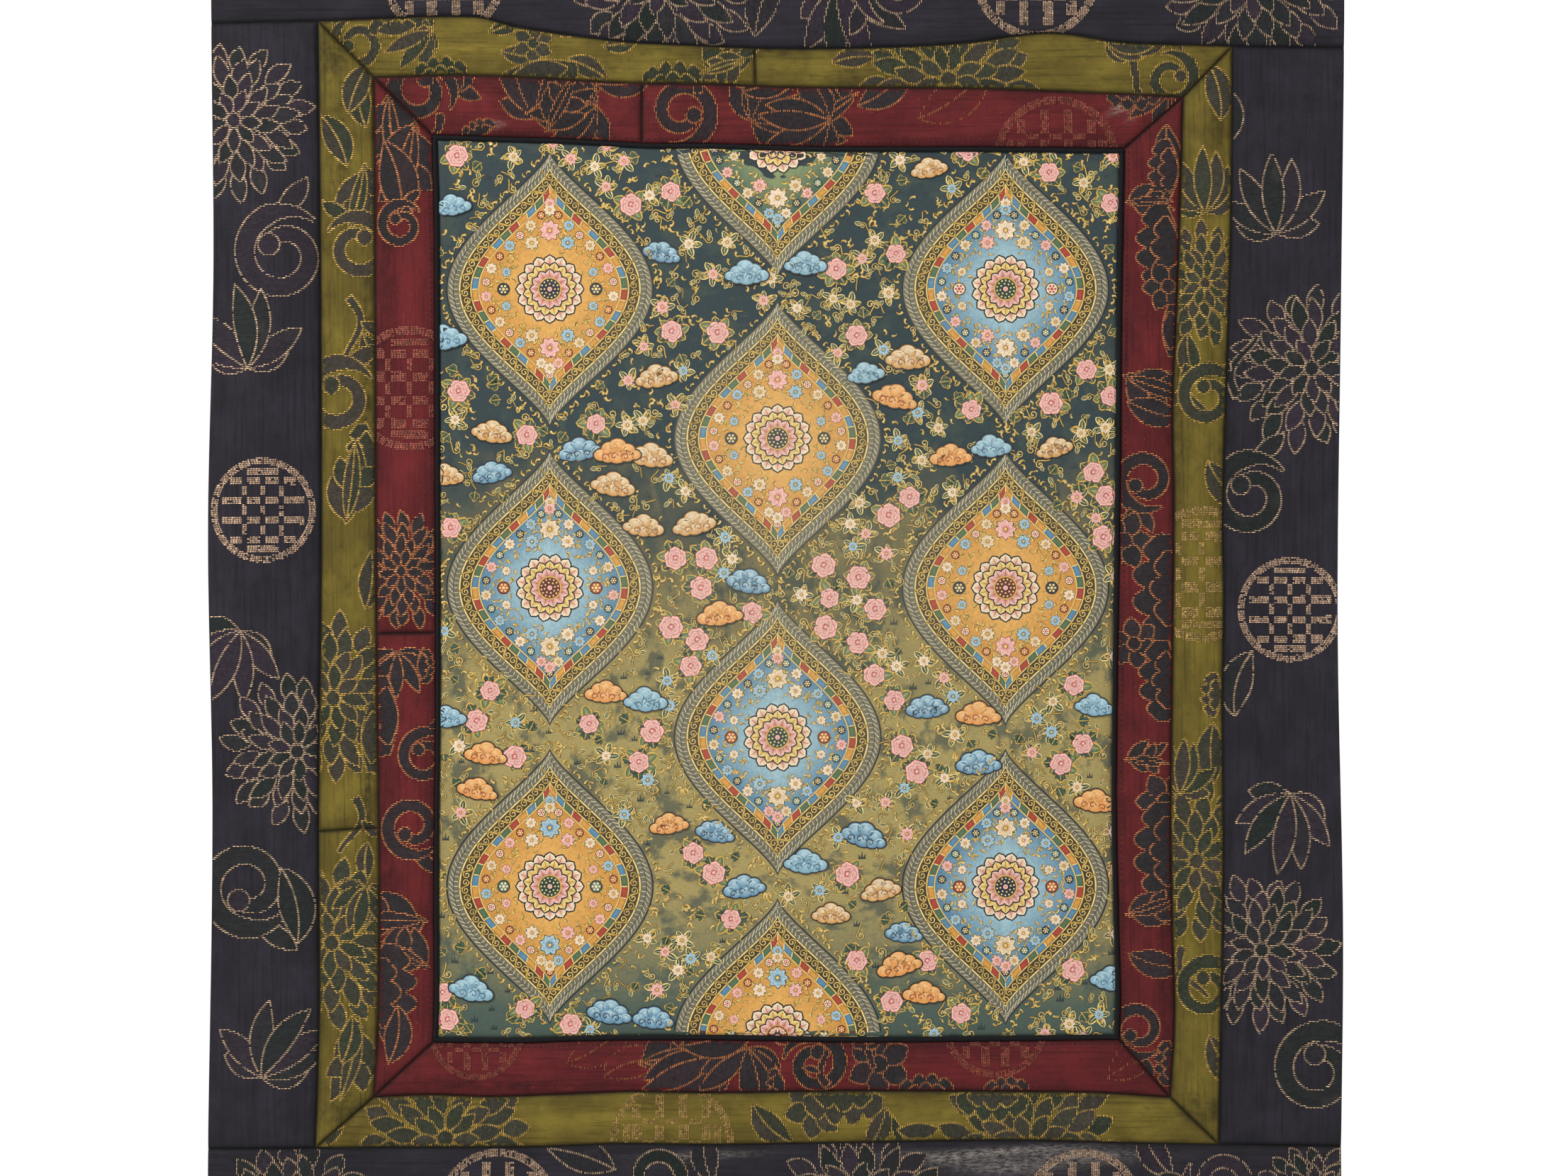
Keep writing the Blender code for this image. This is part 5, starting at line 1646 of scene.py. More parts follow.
def ogee_scale(x, z, o):
    """How large an ogee would be whose outline passes through each place."""
    dx, dz = np.abs(x - o.x) / OGEE_WIDE, np.abs(z - o.z) / OGEE_HIGH
    k = np.maximum(dx, dz) + 1e-6
    for _ in range(25):
        p = np.clip(1 - dz / k, 0, 1)
        wide = np.sin(pi * p / 2) ** 1.3
        k = k + 0.5 * (dx - k * wide) * (dz < k) + 0.02 * (dz >= k)
        k = np.maximum(k, dz)
    return k


def ring_band(s, k1, k2, count, col1, col2, layer):
    """A filled band between two scales of the ogee."""
    a, b = ogee_line(k1, count), ogee_line(k2, count)
    i = np.arange(count)
    j = (i + 1) % count
    tri = np.concatenate([np.stack([i, j, i + count], -1), np.stack([j, j + count, i + count], -1)])
    cols = np.concatenate([np.broadcast_to(col1, (count, 3)), np.broadcast_to(col2, (count, 3))])
    s._add(np.concatenate([a, b]), layer, cols, tri)


def paint_panel(cloth, colour_mat, gold_mat):
    rng = np.random.default_rng(77)
    fields, flora = Painting("paint_medallions"), Painting("paint_flora")
    gold = Painting("paint_gold_scrolls")

    fieldcols = {
        "ochre": (srgb("c98d3c"), srgb("e0ac5c")), "blue": (srgb("4d7d9a"), srgb("a4c4cc")),
        "green": (srgb("3c5a50"), srgb("8f9c68")),
    }
    heartcols = {"blue": INK_BLUE, "red": srgb("6a2224"), "green": srgb("23403a")}
    lotus = {h: stamp_lotus(PINK, ROSE, c) for h, c in heartcols.items()}
    flames = [stamp_flame(PALE_GOLD, DEEP_GOLD, c) for c in (2.4, -2.1, 1.5)]
    coil = stamp_coil()
    grey_coil = stamp_coil(PALE_GREY, srgb("4c4a40"), 1.2, 11)
    blooms = [
        stamp_bloom(PINK, PALE_PINK, ROSE * 0.7), stamp_bloom(OCHRE, CREAM, DEEP_GOLD * 0.6),
        stamp_bloom(BLUE, PALE_BLUE, INK_BLUE), stamp_bloom(FLESH, CREAM, srgb("7a4a3a")),
    ]
    discs = [
        stamp_disc(INK_BLUE, srgb("34405c"), PALE_GOLD), stamp_disc(RED, srgb("c4624a"), PALE_GOLD),
        stamp_disc(srgb("3c5a50"), LIGHT_GREEN, CREAM), stamp_disc(CREAM, FLESH, ROSE),
    ]
    leaf, frond = stamp_leaf(), stamp_frond()
    small_leaf = stamp_leaf(DARK_GREEN, GREEN, PALE_GOLD, 0.34)

    for number, o in enumerate(OGEES):
        s = Stamp()
        n = 132
        inner, light = fieldcols[o.field]
        ring_band(s, 1.0, 0.985, n, BLACK, BLACK, 0)
        ring_band(s, 0.985, 0.875, n, GREY * 0.95, GREY * 0.8, 0)
        ring_band(s, 0.875, 0.862, n, PALE_GOLD, PALE_GOLD, 1)
        ring_band(s, 0.862, 0.765, n, srgb("4f3d1e"), srgb("3a2f1c"), 0)
        ring_band(s, 0.765, 0.752, n, PALE_GOLD, GOLD, 1)
        ring_band(s, 0.752, 0.69, n, srgb("5a2a22"), srgb("5a2a22"), 0)
        ring_band(s, 0.69, 0.678, n, PALE_GOLD, GOLD, 1)
        ring_band(s, 0.678, 0.45, n, inner, (inner + light) / 2, 0)
        ring_band(s, 0.45, 0.2, n, (inner + light) / 2, light, 0)
        s.fan(ogee_line(0.2, 66), light, layer=0)
        # fine wave lines in the grey band
        a, b = ogee_line(0.972, n), ogee_line(0.888, n)
        for i in range(0, n):
            p, q = a[i], b[(i + 1) % n]
            m = (p + q) / 2 + (a[(i + 1) % n] - p) * 0.5
            s.line([p, m, q], 0.42, PALE_GREY * rng.uniform(0.75, 1.05), 1)
        s.line(ogee_line(0.93, n), 0.4, srgb("45443c"), 2, closed=True)
        # blocks of colour between gold bars
        a, b = ogee_line(0.748, 88), ogee_line(0.694, 88)
        cols = (RED, GREEN, BLUE, OCHRE)
        for i in range(0, 88, 2):
            quad = [a[i], a[(i + 1) % 88], a[(i + 2) % 88] * 0.97 + a[(i + 1) % 88] * 0.03,
                    b[(i + 2) % 88] * 0.97 + b[(i + 1) % 88] * 0.03, b[(i + 1) % 88], b[i]]
            c = cols[(i // 2) % 4]
            s.fan(quad, c * 0.9, c * 1.25, layer=1)
            s.line([a[i], b[i]], 0.5, PALE_GOLD, 2)
        fields.put(s, o.x, o.z)
        # scrolls in the dark band
        a = ogee_line(0.814, 74)
        for i, (x, z) in enumerate(a):
            d = a[(i + 1) % 74] - a[i - 1]
            turn = np.degrees(np.arctan2(d[1], d[0]))
            gold.put(coil, o.x + x, o.z + z, 4.6 * rng.uniform(0.92, 1.06), turn + 180 * (i % 2), 2, flip=False,
                     shade=rng.uniform(0.8, 1.1))
        a = ogee_line(1.018, 96)
        for i, (x, z) in enumerate(a):
            d = a[(i + 1) % 96] - a[i - 1]
            turn = np.degrees(np.arctan2(d[1], d[0]))
            gold.put(flames[i % 2], o.x + x, o.z + z, rng.uniform(3.6, 5.2), turn - 60, 10, flip=False,
                     shade=rng.uniform(0.75, 1.05))
        # the rosette and what surrounds it
        fields.put(lotus[o.heart], o.x, o.z, 18.5, 11.25 * (number % 2), 3)
        a = ogee_line(0.62, 30)
        for i, (x, z) in enumerate(a):
            kind = discs[(i + number) % 4] if i % 2 else blooms[(i // 2 + number) % 4]
            flora.put(kind, o.x + x, o.z + z, 2.1 if i % 2 else 3.1, rng.uniform(0, 60), 6)
        for ring, count, size in ((0.40, 34, 4.0), (0.47, 46, 4.2), (0.54, 56, 4.0), (0.585, 62, 3.6)):
            a = ogee_line(ring, count)
            for i, (x, z) in enumerate(a):
                if hypot(x, z) < 20.5:
                    continue
                gold.put(flames[i % 3], o.x + x, o.z + z, size * rng.uniform(0.8, 1.25), rng.uniform(0, 360), 5,
                         shade=rng.uniform(0.8, 1.1))
        for side in (1, -1):
            for j, (dx, dz, size) in enumerate(((0, 31, 5.6), (-9.5, 24.5, 3.8), (9.5, 24.5, 3.8), (0, 42, 3.4))):
                x, z = o.x + dx, o.z + side * dz
                for turn in (25, 155, 90, -35, 215):
                    flora.put(small_leaf, x, z, size * 1.15, turn * side, 3)
                flora.put(blooms[(j + number) % 4], x, z, size, rng.uniform(0, 45), 8)
        for side in (1, -1):
            x = o.x + side * 24.5
            flora.put(discs[number % 4], x, o.z, 3.2, 0, 8)
            for turn in (60, 0, -60, 120, -120):
                gold.put(flames[0], x, o.z, 5.2, turn, 6)
            for dz in (-9, 9):
                flora.put(blooms[(number + 2) % 4], x - side * 1.5, o.z + dz, 2.6, 20, 8)

    # ---- the ground between the medallions
    roses = [stamp_rose(k) for k in range(4)]
    clouds = [
        stamp_cloud(BLUE, PALE_BLUE, INK_BLUE, 1), stamp_cloud(LIGHT_BLUE * 0.8, PALE_BLUE, BLUE * 0.7, 2),
        stamp_cloud(ORANGE, LIGHT_ORANGE, RED * 0.9, 3), stamp_cloud(OCHRE, CREAM * 0.92, srgb("9a5a34"), 4),
    ]
    taken = []

    def free(x, z, r, edge=4.0):
        if not (-181 + edge < x < 181 - edge and -680 + edge < z < -204 - edge):
            return False
        for tx, tz, tr in taken:
            if (tx - x) ** 2 + (tz - z) ** 2 < (tr + r) ** 2:
                return False
        return True

    def outside(x, z, margin):
        return min(float(ogee_scale(x, z, o)) for o in OGEES) > 1.0 + margin / 60.0

    def scatter(count, radius, margin, tries=60, share=0.9):
        out = []
        for _ in range(count):
            for _ in range(tries):
                x, z = rng.uniform(-180, 180), rng.uniform(-679, -205)
                if free(x, z, radius, radius * 0.4) and outside(x, z, margin):
                    taken.append((x, z, radius * share))
                    out.append((x, z))
                    break
        return out

    for i, (x, z) in enumerate(scatter(48, 8.8, 8.0, 40)):
        flora.put(clouds[(i * 3) % 4], x, z, rng.uniform(10.5, 13), rng.uniform(-14, 14), 8 + (i % 4) * 6,
                  flip=bool(i % 2))
    for i, (x, z) in enumerate(scatter(64, 6.8, 6.0)):
        first = rng.uniform(0, 360)
        for j in range(7):
            flora.put(frond if j % 2 else leaf, x, z, rng.uniform(8.5, 11.5), first + j * 51.4 + rng.uniform(-10, 10), 3 + j % 3)
        flora.put(roses[i % 4], x, z, rng.uniform(5.2, 6.6), rng.uniform(0, 60), 9)
    for i, (x, z) in enumerate(scatter(110, 4.4, 3.6, 40)):
        first = rng.uniform(0, 360)
        for j in range(5):
            flora.put(small_leaf, x, z, rng.uniform(5.5, 8), first + j * 72, 3)
            gold.put(flames[j % 3], x, z, rng.uniform(5, 7.5), first + j * 72 + 36, 4)
        flora.put(blooms[i % 4], x, z, rng.uniform(2.8, 3.8), 0, 8)
    for i, (x, z) in enumerate(scatter(240, 3.0, 2.5, 30)):
        kind = i % 3
        if kind == 0:
            flora.put(frond, x, z, rng.uniform(6, 8.5), rng.uniform(0, 360), 4)
        elif kind == 1:
            for j in range(4):
                gold.put(flames[j % 3], x, z, rng.uniform(3.6, 6), rng.uniform(0, 360), 4)
        else:
            flora.put(stamp_tuft_ready, x, z, rng.uniform(2.6, 3.8), 0, 2)
    # thin gold vines with small leaves fill what is left
    for i, (x, z) in enumerate(scatter(900, 1.7, 1.0, 25)):
        gold.put(coil if i % 2 else flames[i % 3], x, z, rng.uniform(3.2, 5.2), rng.uniform(0, 360), 3,
                 shade=rng.uniform(0.7, 1.05))
        if i % 2:
            flora.put(small_leaf, x, z, rng.uniform(3.6, 5.2), rng.uniform(0, 360), 2)
    made = []
    for p, mat in ((fields, colour_mat), (flora, colour_mat), (gold, gold_mat)):
        made.append(p.build(cloth, mat))
        print(p.name, len(made[-1].data.polygons))
    return made


stamp_tuft_ready = stamp_tuft()


# ------------------------------------------------------------------ materials
class Tree:
    """A short hand for a material's nodes."""

    def __init__(self, name):
        self.mat = bpy.data.materials.new(name)
        self.mat.use_nodes = True
        self.nt = self.mat.node_tree
        self.shader = self.nt.nodes["Principled BSDF"]

    def node(self, kind, **settings):
        n = self.nt.nodes.new(kind)
        for key, value in settings.items():
            setattr(n, key, value)
        return n

    def put(self, socket, value):
        if isinstance(value, bpy.types.NodeSocket):
            self.nt.links.new(value, socket)
        elif value is not None:
            if socket.type == "RGBA" and not hasattr(value, "__len__"):
                value = (value, value, value, 1)
            elif socket.type == "RGBA" and len(value) == 3:
                value = (*value, 1)
            socket.default_value = value

    def attribute(self, name):
        return self.node("ShaderNodeAttribute", attribute_name=name)

    def math(self, op, a, b=None, c=None, clamp=False):
        n = self.node("ShaderNodeMath", operation=op, use_clamp=clamp)
        for s, v in zip(n.inputs, (a, b, c)):
            self.put(s, v)
        return n.outputs[0]

    def split(self, vector):
        n = self.node("ShaderNodeSeparateXYZ")
        self.put(n.inputs[0], vector)
        return n.outputs

    def join(self, x, y, z=0.0):
        n = self.node("ShaderNodeCombineXYZ")
        for s, v in zip(n.inputs, (x, y, z)):
            self.put(s, v)
        return n.outputs[0]

    def mix(self, share, a, b, blend="MIX"):
        n = self.node("ShaderNodeMix", data_type="RGBA", blend_type=blend)
        self.put(n.inputs[0], share)
        self.put(n.inputs[6], a)
        self.put(n.inputs[7], b)
        return n.outputs[2]

    def noise(self, vector, scale, detail=2.0, rough=0.5):
        n = self.node("ShaderNodeTexNoise")
        self.put(n.inputs["Vector"], vector)
        self.put(n.inputs["Scale"], scale)
        self.put(n.inputs["Detail"], detail)
        self.put(n.inputs["Roughness"], rough)
        return n.outputs["Fac"]

    def ramp(self, value, low, high, a=0.0, b=1.0):
        n = self.node("ShaderNodeMapRange", clamp=True)
        for s, v in zip(n.inputs, (value, low, high, a, b)):
            self.put(s, v)
        return n.outputs[0]

    def wave(self, position, length):
        """0 to 1 and back, once in each length."""
        return self.math("MULTIPLY_ADD", self.math("SINE", self.math("MULTIPLY", position, 2 * pi / length)), 0.5, 0.5)

    def bump(self, height, distance, strength=1.0, normal=None):
        n = self.node("ShaderNodeBump")
        n.inputs["Strength"].default_value = strength
        n.inputs["Distance"].default_value = distance * MM
        self.put(n.inputs["Height"], height)
        if normal is not None:
            self.put(n.inputs["Normal"], normal)
        return n.outputs[0]

    def finish(self, colour, roughness, normal=None, **sockets):
        self.put(self.shader.inputs["Base Color"], colour)
        self.put(self.shader.inputs["Roughness"], roughness)
        if normal is not None:
            self.put(self.shader.inputs["Normal"], normal)
        for key, value in sockets.items():
            self.put(self.shader.inputs[key.replace("_", " ")], value)
        return self.mat


def painted_seam_shade(t, d, deep=0.86):
    """Painted shade, darker in and beside the seams where shadow falls: 1 in the open."""
    near = t.math("POWER", 2.718, t.math("MULTIPLY", t.math("POWER", t.math("MAXIMUM", d, 0.0), 1.5), -0.9))
    wide = t.math("POWER", 2.718, t.math("MULTIPLY", d, -0.22))
    a = t.math("MULTIPLY_ADD", near, -deep, 1.0)
    return t.math("MULTIPLY", a, t.math("MULTIPLY_ADD", wide, -0.28, 1.0))


def make_ground(name, base, light, dark, fleck, sheen=0.03, rough=0.62):
    """The satin ground of a brocade: streaks along the strip, ribs across it."""
    t = Tree(name)
    place = t.attribute("weave").outputs["Vector"]
    s, u, d = t.split(place)
    wear = t.split(t.attribute("wear").outputs["Color"])
    streak = t.noise(t.join(t.math("MULTIPLY", s, 0.02), t.math("MULTIPLY", u, 0.55)), 1.0, 4.0, 0.62)
    fine = t.noise(t.join(t.math("MULTIPLY", s, 0.12), t.math("MULTIPLY", u, 2.4)), 1.0, 3.0, 0.6)
    cloud = t.noise(place, 0.045, 4.0, 0.6)
    blotch = t.noise(place, 0.17, 3.0, 0.6)
    col = t.mix(t.ramp(cloud, 0.40, 0.66), base, light)
    col = t.mix(t.math("MULTIPLY", t.ramp(streak, 0.50, 0.72), 0.65), col, dark)
    col = t.mix(t.math("MULTIPLY", t.ramp(streak, 0.42, 0.28), 0.5), col, light)
    col = t.mix(t.math("MULTIPLY", t.ramp(blotch, 0.55, 0.75), 0.4), col, dark)
    col = t.mix(t.math("MULTIPLY", t.ramp(fine, 0.55, 0.8), 0.45), col, dark)
    ribs = t.wave(s, 0.5)
    warp = t.wave(u, 0.42)
    col = t.mix(t.math("MULTIPLY", t.math("MULTIPLY", ribs, warp), 0.28), col, dark)
    speck = t.noise(place, 1.7, 1.0, 0.5)
    col = t.mix(t.ramp(speck, 0.76, 0.80), col, fleck)
    # wear: pale scuffs, dark stains, brighter rubbed streaks
    rub = t.math("MULTIPLY", wear[0], t.ramp(t.noise(t.join(t.math("MULTIPLY", s, 0.25), t.math("MULTIPLY", u, 0.9)), 1.0, 5.0, 0.75), 0.40, 0.62))
    col = t.mix(rub, col, srgb("c8beb4"))
    stain = t.math("MULTIPLY", wear[1], t.ramp(blotch, 0.3, 0.6))
    col = t.mix(t.math("MULTIPLY", stain, 0.8), col, tuple(np.array(dark) * 0.35))
    col = t.mix(t.math("MULTIPLY", wear[2], t.ramp(fine, 0.35, 0.65)), col, tuple(np.array(light) * 1.45))
    # painted shade in and beside the seams, where shadow falls
    shade = painted_seam_shade(t, d)
    col = t.mix(1.0, col, shade, "MULTIPLY")
    relief = t.math("ADD", t.math("MULTIPLY", ribs, 0.5), t.math("MULTIPLY", warp, 0.35))
    relief = t.math("ADD", relief, t.math("MULTIPLY", streak, 2.0))
    normal = t.bump(relief, 0.16, 0.8)
    rough_map = t.ramp(streak, 0.3, 0.7, rough - 0.06, rough + 0.1)
    return t.finish(col, rough_map, normal, Sheen_Weight=sheen, Sheen_Roughness=0.4,
                    Specular_IOR_Level=0.18)


def make_fill(name):
    """The dark twill of the woven figures."""
    t = Tree(name)
    place = t.attribute("weave").outputs["Vector"]
    s, u, d = t.split(place)
    tint = t.attribute("tint").outputs["Color"]
    lean = t.math("MULTIPLY_ADD", u, 0.62, s)
    twill = t.wave(t.math("ADD", lean, t.math("MULTIPLY", t.noise(place, 0.3, 2.0), 1.2)), 1.1)
    fine = t.noise(place, 0.5, 3.0, 0.6)
    col = t.mix(1.0, tint, t.ramp(twill, 0.0, 1.0, 0.72, 1.3), "MULTIPLY")
    col = t.mix(1.0, col, t.ramp(fine, 0.3, 0.7, 0.75, 1.3), "MULTIPLY")
    fade = t.noise(place, 0.06, 2.0, 0.5)
    col = t.mix(t.ramp(fade, 0.62, 0.8, 0.0, 0.25), col, srgb("5a5048"))
    # painted shade beside the seams
    col = t.mix(1.0, col, painted_seam_shade(t, d, 0.5), "MULTIPLY")
    normal = t.bump(twill, 0.22, 0.8)
    return t.finish(col, 0.66, normal, Sheen_Weight=0.04, Sheen_Roughness=0.45, Specular_IOR_Level=0.15)


def make_weft(name, metal=0.35):
    """Gilt wefts, dulled here and there."""
    t = Tree(name)
    place = t.attribute("weave").outputs["Vector"]
    s, u, d = t.split(place)
    tint = t.attribute("tint").outputs["Color"]
    dull = t.noise(place, 0.35, 3.0, 0.65)
    col = t.mix(1.0, tint, t.ramp(dull, 0.3, 0.65, 0.35, 1.25), "MULTIPLY")
    # painted shade beside the seams
    col = t.mix(1.0, col, painted_seam_shade(t, d, 0.45), "MULTIPLY")
    twist = t.wave(t.math("ADD", u, t.math("MULTIPLY", s, 2.0)), 0.45)
    return t.finish(col, 0.42, t.bump(twist, 0.08, 0.5), Metallic=metal, Specular_IOR_Level=0.5)


def make_reverse(name, colour, dark):
    """The wrong side: dull cloth with loose weft floats and pressed seams."""
    t = Tree(name)
    place = t.attribute("weave").outputs["Vector"]
    s, u, d = t.split(place)
    run = t.noise(t.join(t.math("MULTIPLY", s, 1.1), t.math("MULTIPLY", u, 0.06)), 1.0, 3.0, 0.6)
    cloud = t.noise(place, 0.05, 3.0, 0.6)
    weave = t.math("MULTIPLY", t.wave(s, 0.9), t.wave(u, 0.8))
    col = t.mix(t.ramp(run, 0.42, 0.62), colour, dark)
    col = t.mix(t.math("MULTIPLY", t.ramp(cloud, 0.5, 0.7), 0.5), col, dark)
    col = t.mix(t.math("MULTIPLY", weave, 0.3), col, dark)
    relief = t.math("ADD", t.math("MULTIPLY", weave, 0.6), run)
    return t.finish(col, 0.78, t.bump(relief, 0.25, 0.7), Sheen_Weight=0.15, Specular_IOR_Level=0.2)


def make_canvas():
    """The painted ground: primed cotton, dark teal above and ochre khaki below."""
    t = Tree("painted_ground")
    place = t.attribute("weave").outputs["Vector"]
    x, z, d = t.split(place)
    cloud = t.noise(place, 0.025, 3.0, 0.55)
    patch = t.noise(place, 0.055, 4.0, 0.6)
    high = t.ramp(t.math("MULTIPLY_ADD", cloud, 150.0, z), -430.0, -300.0)
    col = t.mix(high, KHAKI, TEAL)
    low = t.math("MULTIPLY", t.ramp(patch, 0.50, 0.60), 0.75)
    col = t.mix(low, col, srgb("3b4a44"))
    col = t.mix(t.ramp(z, -600.0, -665.0), col, srgb("46584e"))
    brush = t.noise(t.join(t.math("MULTIPLY", x, 0.4), t.math("MULTIPLY", z, 1.6)), 1.0, 3.0, 0.6)
    col = t.mix(1.0, col, t.ramp(brush, 0.3, 0.7, 0.82, 1.16), "MULTIPLY")
    # painted shade beside the seams at the piping
    col = t.mix(1.0, col, painted_seam_shade(t, d, 0.3), "MULTIPLY")
    weave = t.math("MULTIPLY", t.wave(x, 0.55), t.wave(z, 0.5))
    relief = t.math("ADD", weave, t.math("MULTIPLY", brush, 1.2))
    return t.finish(col, 0.55, t.bump(relief, 0.08, 0.7), Specular_IOR_Level=0.4)


def make_paint(name, metal=0.0, rough=0.5):
    """Mineral colours, or gold, laid on with a small brush."""
    t = Tree(name)
    place = t.attribute("weave").outputs["Vector"]
    x, z, d = t.split(place)
    tint = t.attribute("tint").outputs["Color"]
    wash = t.noise(place, 0.5, 3.0, 0.6)
    wear = t.noise(place, 0.09, 4.0, 0.7)
    col = t.mix(1.0, tint, t.ramp(wash, 0.3, 0.7, 0.84, 1.14), "MULTIPLY")
    # a painted highlight: a pale glare over the middle, where light reflects off the paint
    dx, dz = t.math("MULTIPLY", x, 1 / 120.0), t.math("MULTIPLY_ADD", z, 1 / 150.0, 400.0 / 150.0)
    far = t.math("ADD", t.math("MULTIPLY", dx, dx), t.math("MULTIPLY", dz, dz))
    painted_glare = t.math("MULTIPLY", t.math("POWER", 2.718, t.math("MULTIPLY", far, -1.0)), 0.10)
    col = t.mix(painted_glare, col, srgb("d8cfae"))
    col = t.mix(t.ramp(wear, 0.66, 0.78, 0.0, 0.35), col, srgb("b8a678"))
    weave = t.math("MULTIPLY", t.wave(x, 0.55), t.wave(z, 0.5))
    return t.finish(col, rough, t.bump(t.math("ADD", weave, wash), 0.07, 0.6), Metallic=metal,
                    Specular_IOR_Level=0.4)


def make_twill():
    t = Tree("piping_cloth")
    place = t.attribute("weave").outputs["Vector"]
    s, a, d = t.split(place)
    rib = t.wave(t.math("MULTIPLY_ADD", a, 0.9, s), 0.9)
    lint = t.noise(place, 0.8, 3.0, 0.6)
    col = t.mix(rib, srgb("08080a"), srgb("1b1b20"))
    col = t.mix(t.ramp(lint, 0.64, 0.82, 0.0, 0.35), col, srgb("3a3436"))
    return t.finish(col, 0.74, t.bump(rib, 0.2, 0.8), Sheen_Weight=0.03, Specular_IOR_Level=0.15)


def make_thread(name, colour, light):
    t = Tree(name)
    place = t.attribute("weave").outputs["Vector"]
    s, a, d = t.split(place)
    ply = t.wave(t.math("MULTIPLY_ADD", a, 0.3, s), 0.35)
    col = t.mix(ply, colour, light)
    return t.finish(col, 0.6, t.bump(ply, 0.06, 0.7), Specular_IOR_Level=0.2)


# ------------------------------------------------------------------ wear
# Soft-edged marks: a pale scuff, a dark stain, or a rubbed and brighter streak.
Mark = namedtuple("Mark", "kind x z turn long wide strength")
MARKS = (
    Mark("scuff", 184, -185, 34, 7, 2.2, 0.9),
    Mark("scuff", 189, -190, 60, 4, 1.4, 0.8),
    Mark("scuff", 105, -744, -4, 34, 3.0, 0.75),
    Mark("scuff", 120, -739, 3, 44, 2.2, 0.6),
    Mark("scuff", 160, -741, 0, 30, 2.6, 0.5),
    Mark("scuff", -40, -741, 2, 26, 1.8, 0.35),
    Mark("scuff", -150, -196, 4, 5, 1.6, 0.4),
    Mark("scuff", 60, -756, 10, 12, 2.0, 0.3),
    Mark("scuff", 96, -160, 0, 20, 1.6, 0.3),
    Mark("stain", -20, -158, 0, 60, 4.0, 0.6),
    Mark("stain", 35, -172, 0, 30, 5.0, 0.5),
    Mark("stain", -236, -160, 0, 12, 12, 0.9),
    Mark("stain", -232, -205, 90, 34, 7, 0.7),
    Mark("stain", -217, -330, 90, 90, 3.0, 0.9),
    Mark("stain", -217, -560, 90, 100, 3.0, 0.9),
    Mark("stain", -206, -260, 90, 60, 4.0, 0.6),
    Mark("stain", -206, -620, 90, 60, 5.0, 0.7),
    Mark("stain", 232, -190, 90, 26, 5, 0.8),
    Mark("stain", 238, -360, 90, 60, 3, 0.7),
    Mark("stain", 212, -330, 90, 60, 3.4, 0.8),
    Mark("stain", 205, -350, 90, 40, 4, 0.5),
    Mark("stain", 205, -640, 90, 50, 4, 0.7),
    Mark("stain", -228, -716, 20, 16, 10, 0.7),
    Mark("stain", 226, -716, -30, 16, 8, 0.7),
    Mark("stain", -150, -704, 0, 60, 3.6, 0.7),
    Mark("stain", 40, -706, 0, 90, 2.6, 0.5),
    Mark("stain", -130, -180, -6, 50, 3.0, 0.5),
    Mark("streak", -170, -156, 2, 34, 3.2, 0.8),
    Mark("streak", -30, -150, 0, 60, 2.6, 0.5),
    Mark("streak", 0, -165, 0, 24, 3, 0.4),
    Mark("streak", -195, -290, 90, 44, 7, 0.6),
    Mark("streak", -198, -372, 90, 26, 8, 0.75),
    Mark("streak", -196, -560, 90, 24, 6, 0.4),
    Mark("streak", -150, -690, 0, 40, 6, 0.35),
    Mark("streak", 100, -697, 0, 70, 5, 0.35),
    Mark("streak", 120, -196, 4, 40, 4, 0.35),
    Mark("streak", 222, -310, 90, 40, 4, 0.5),
    Mark("streak", 222, -420, 90, 60, 5, 0.5),
    Mark("streak", -90, -722, 0, 60, 4, 0.5),
    Mark("streak", 60, -725, 0, 50, 4, 0.5),
)


def wear(x, z):
    out = np.zeros(np.shape(x) + (3,))
    for m in MARKS:
        c, s = cos(radians(m.turn)), sin(radians(m.turn))
        a = ((x - m.x) * c + (z - m.z) * s) / m.long
        b = ((z - m.z) * c - (x - m.x) * s) / m.wide
        k = ("scuff", "stain", "streak").index(m.kind)
        out[..., k] = np.maximum(out[..., k], m.strength * np.exp(-(a * a) - b * b))
    return out


# ------------------------------------------------------------------ the pieces
canvas_face = make_canvas()
paint = make_paint("mineral_paint")
gold_paint = make_paint("gold_paint", metal=0.35, rough=0.42)
canvas_back = make_reverse("canvas_reverse", srgb("b5a88a"), srgb("8f8266"))
GROUNDS = {
    "maroon": make_ground("maroon_satin", srgb("5a191d"), srgb("702225"), srgb("361216"), srgb("c08a7a")),
    "olive": make_ground("olive_satin", srgb("665820"), srgb("80702a"), srgb("3c3516"), srgb("1e1c10")),
    "navy": make_ground("navy_satin", srgb("232129"), srgb("2d2a34"), srgb("151319"), srgb("5c5660")),
}
REVERSES = {
    "maroon": make_reverse("maroon_reverse", srgb("5a2426"), srgb("3a1a20")),
    "olive": make_reverse("olive_reverse", srgb("5f5526"), srgb("3b3820")),
    "navy": make_reverse("navy_reverse", srgb("2c2a30"), srgb("1c1d1f")),
}
fill_mat, weft_mat = make_fill("figure_twill"), make_weft("gilt_wefts")
twill = make_twill()
stitch_mat = make_thread("seam_thread", srgb("17161a"), srgb("3c3236"))

START, END = Join(0, 0), Join(1, 1)


def strip_across(name, inner, outer, a, b, upper, mitred, **more):
    near, far = inner.part(a.inner, b.inner), outer.part(a.outer, b.outer)
    bottom, top = (near, far) if upper else (far, near)
    return Cloth(
        name, Side(bottom, "across", True), Side(top, "across", True),
        Side(Seam(bottom.corner(0), top.corner(0)), "line", True),
        Side(Seam(bottom.corner(1), top.corner(1)), "line", True),
        STRIP_PUFF, lengthwise="across", **more,
    )


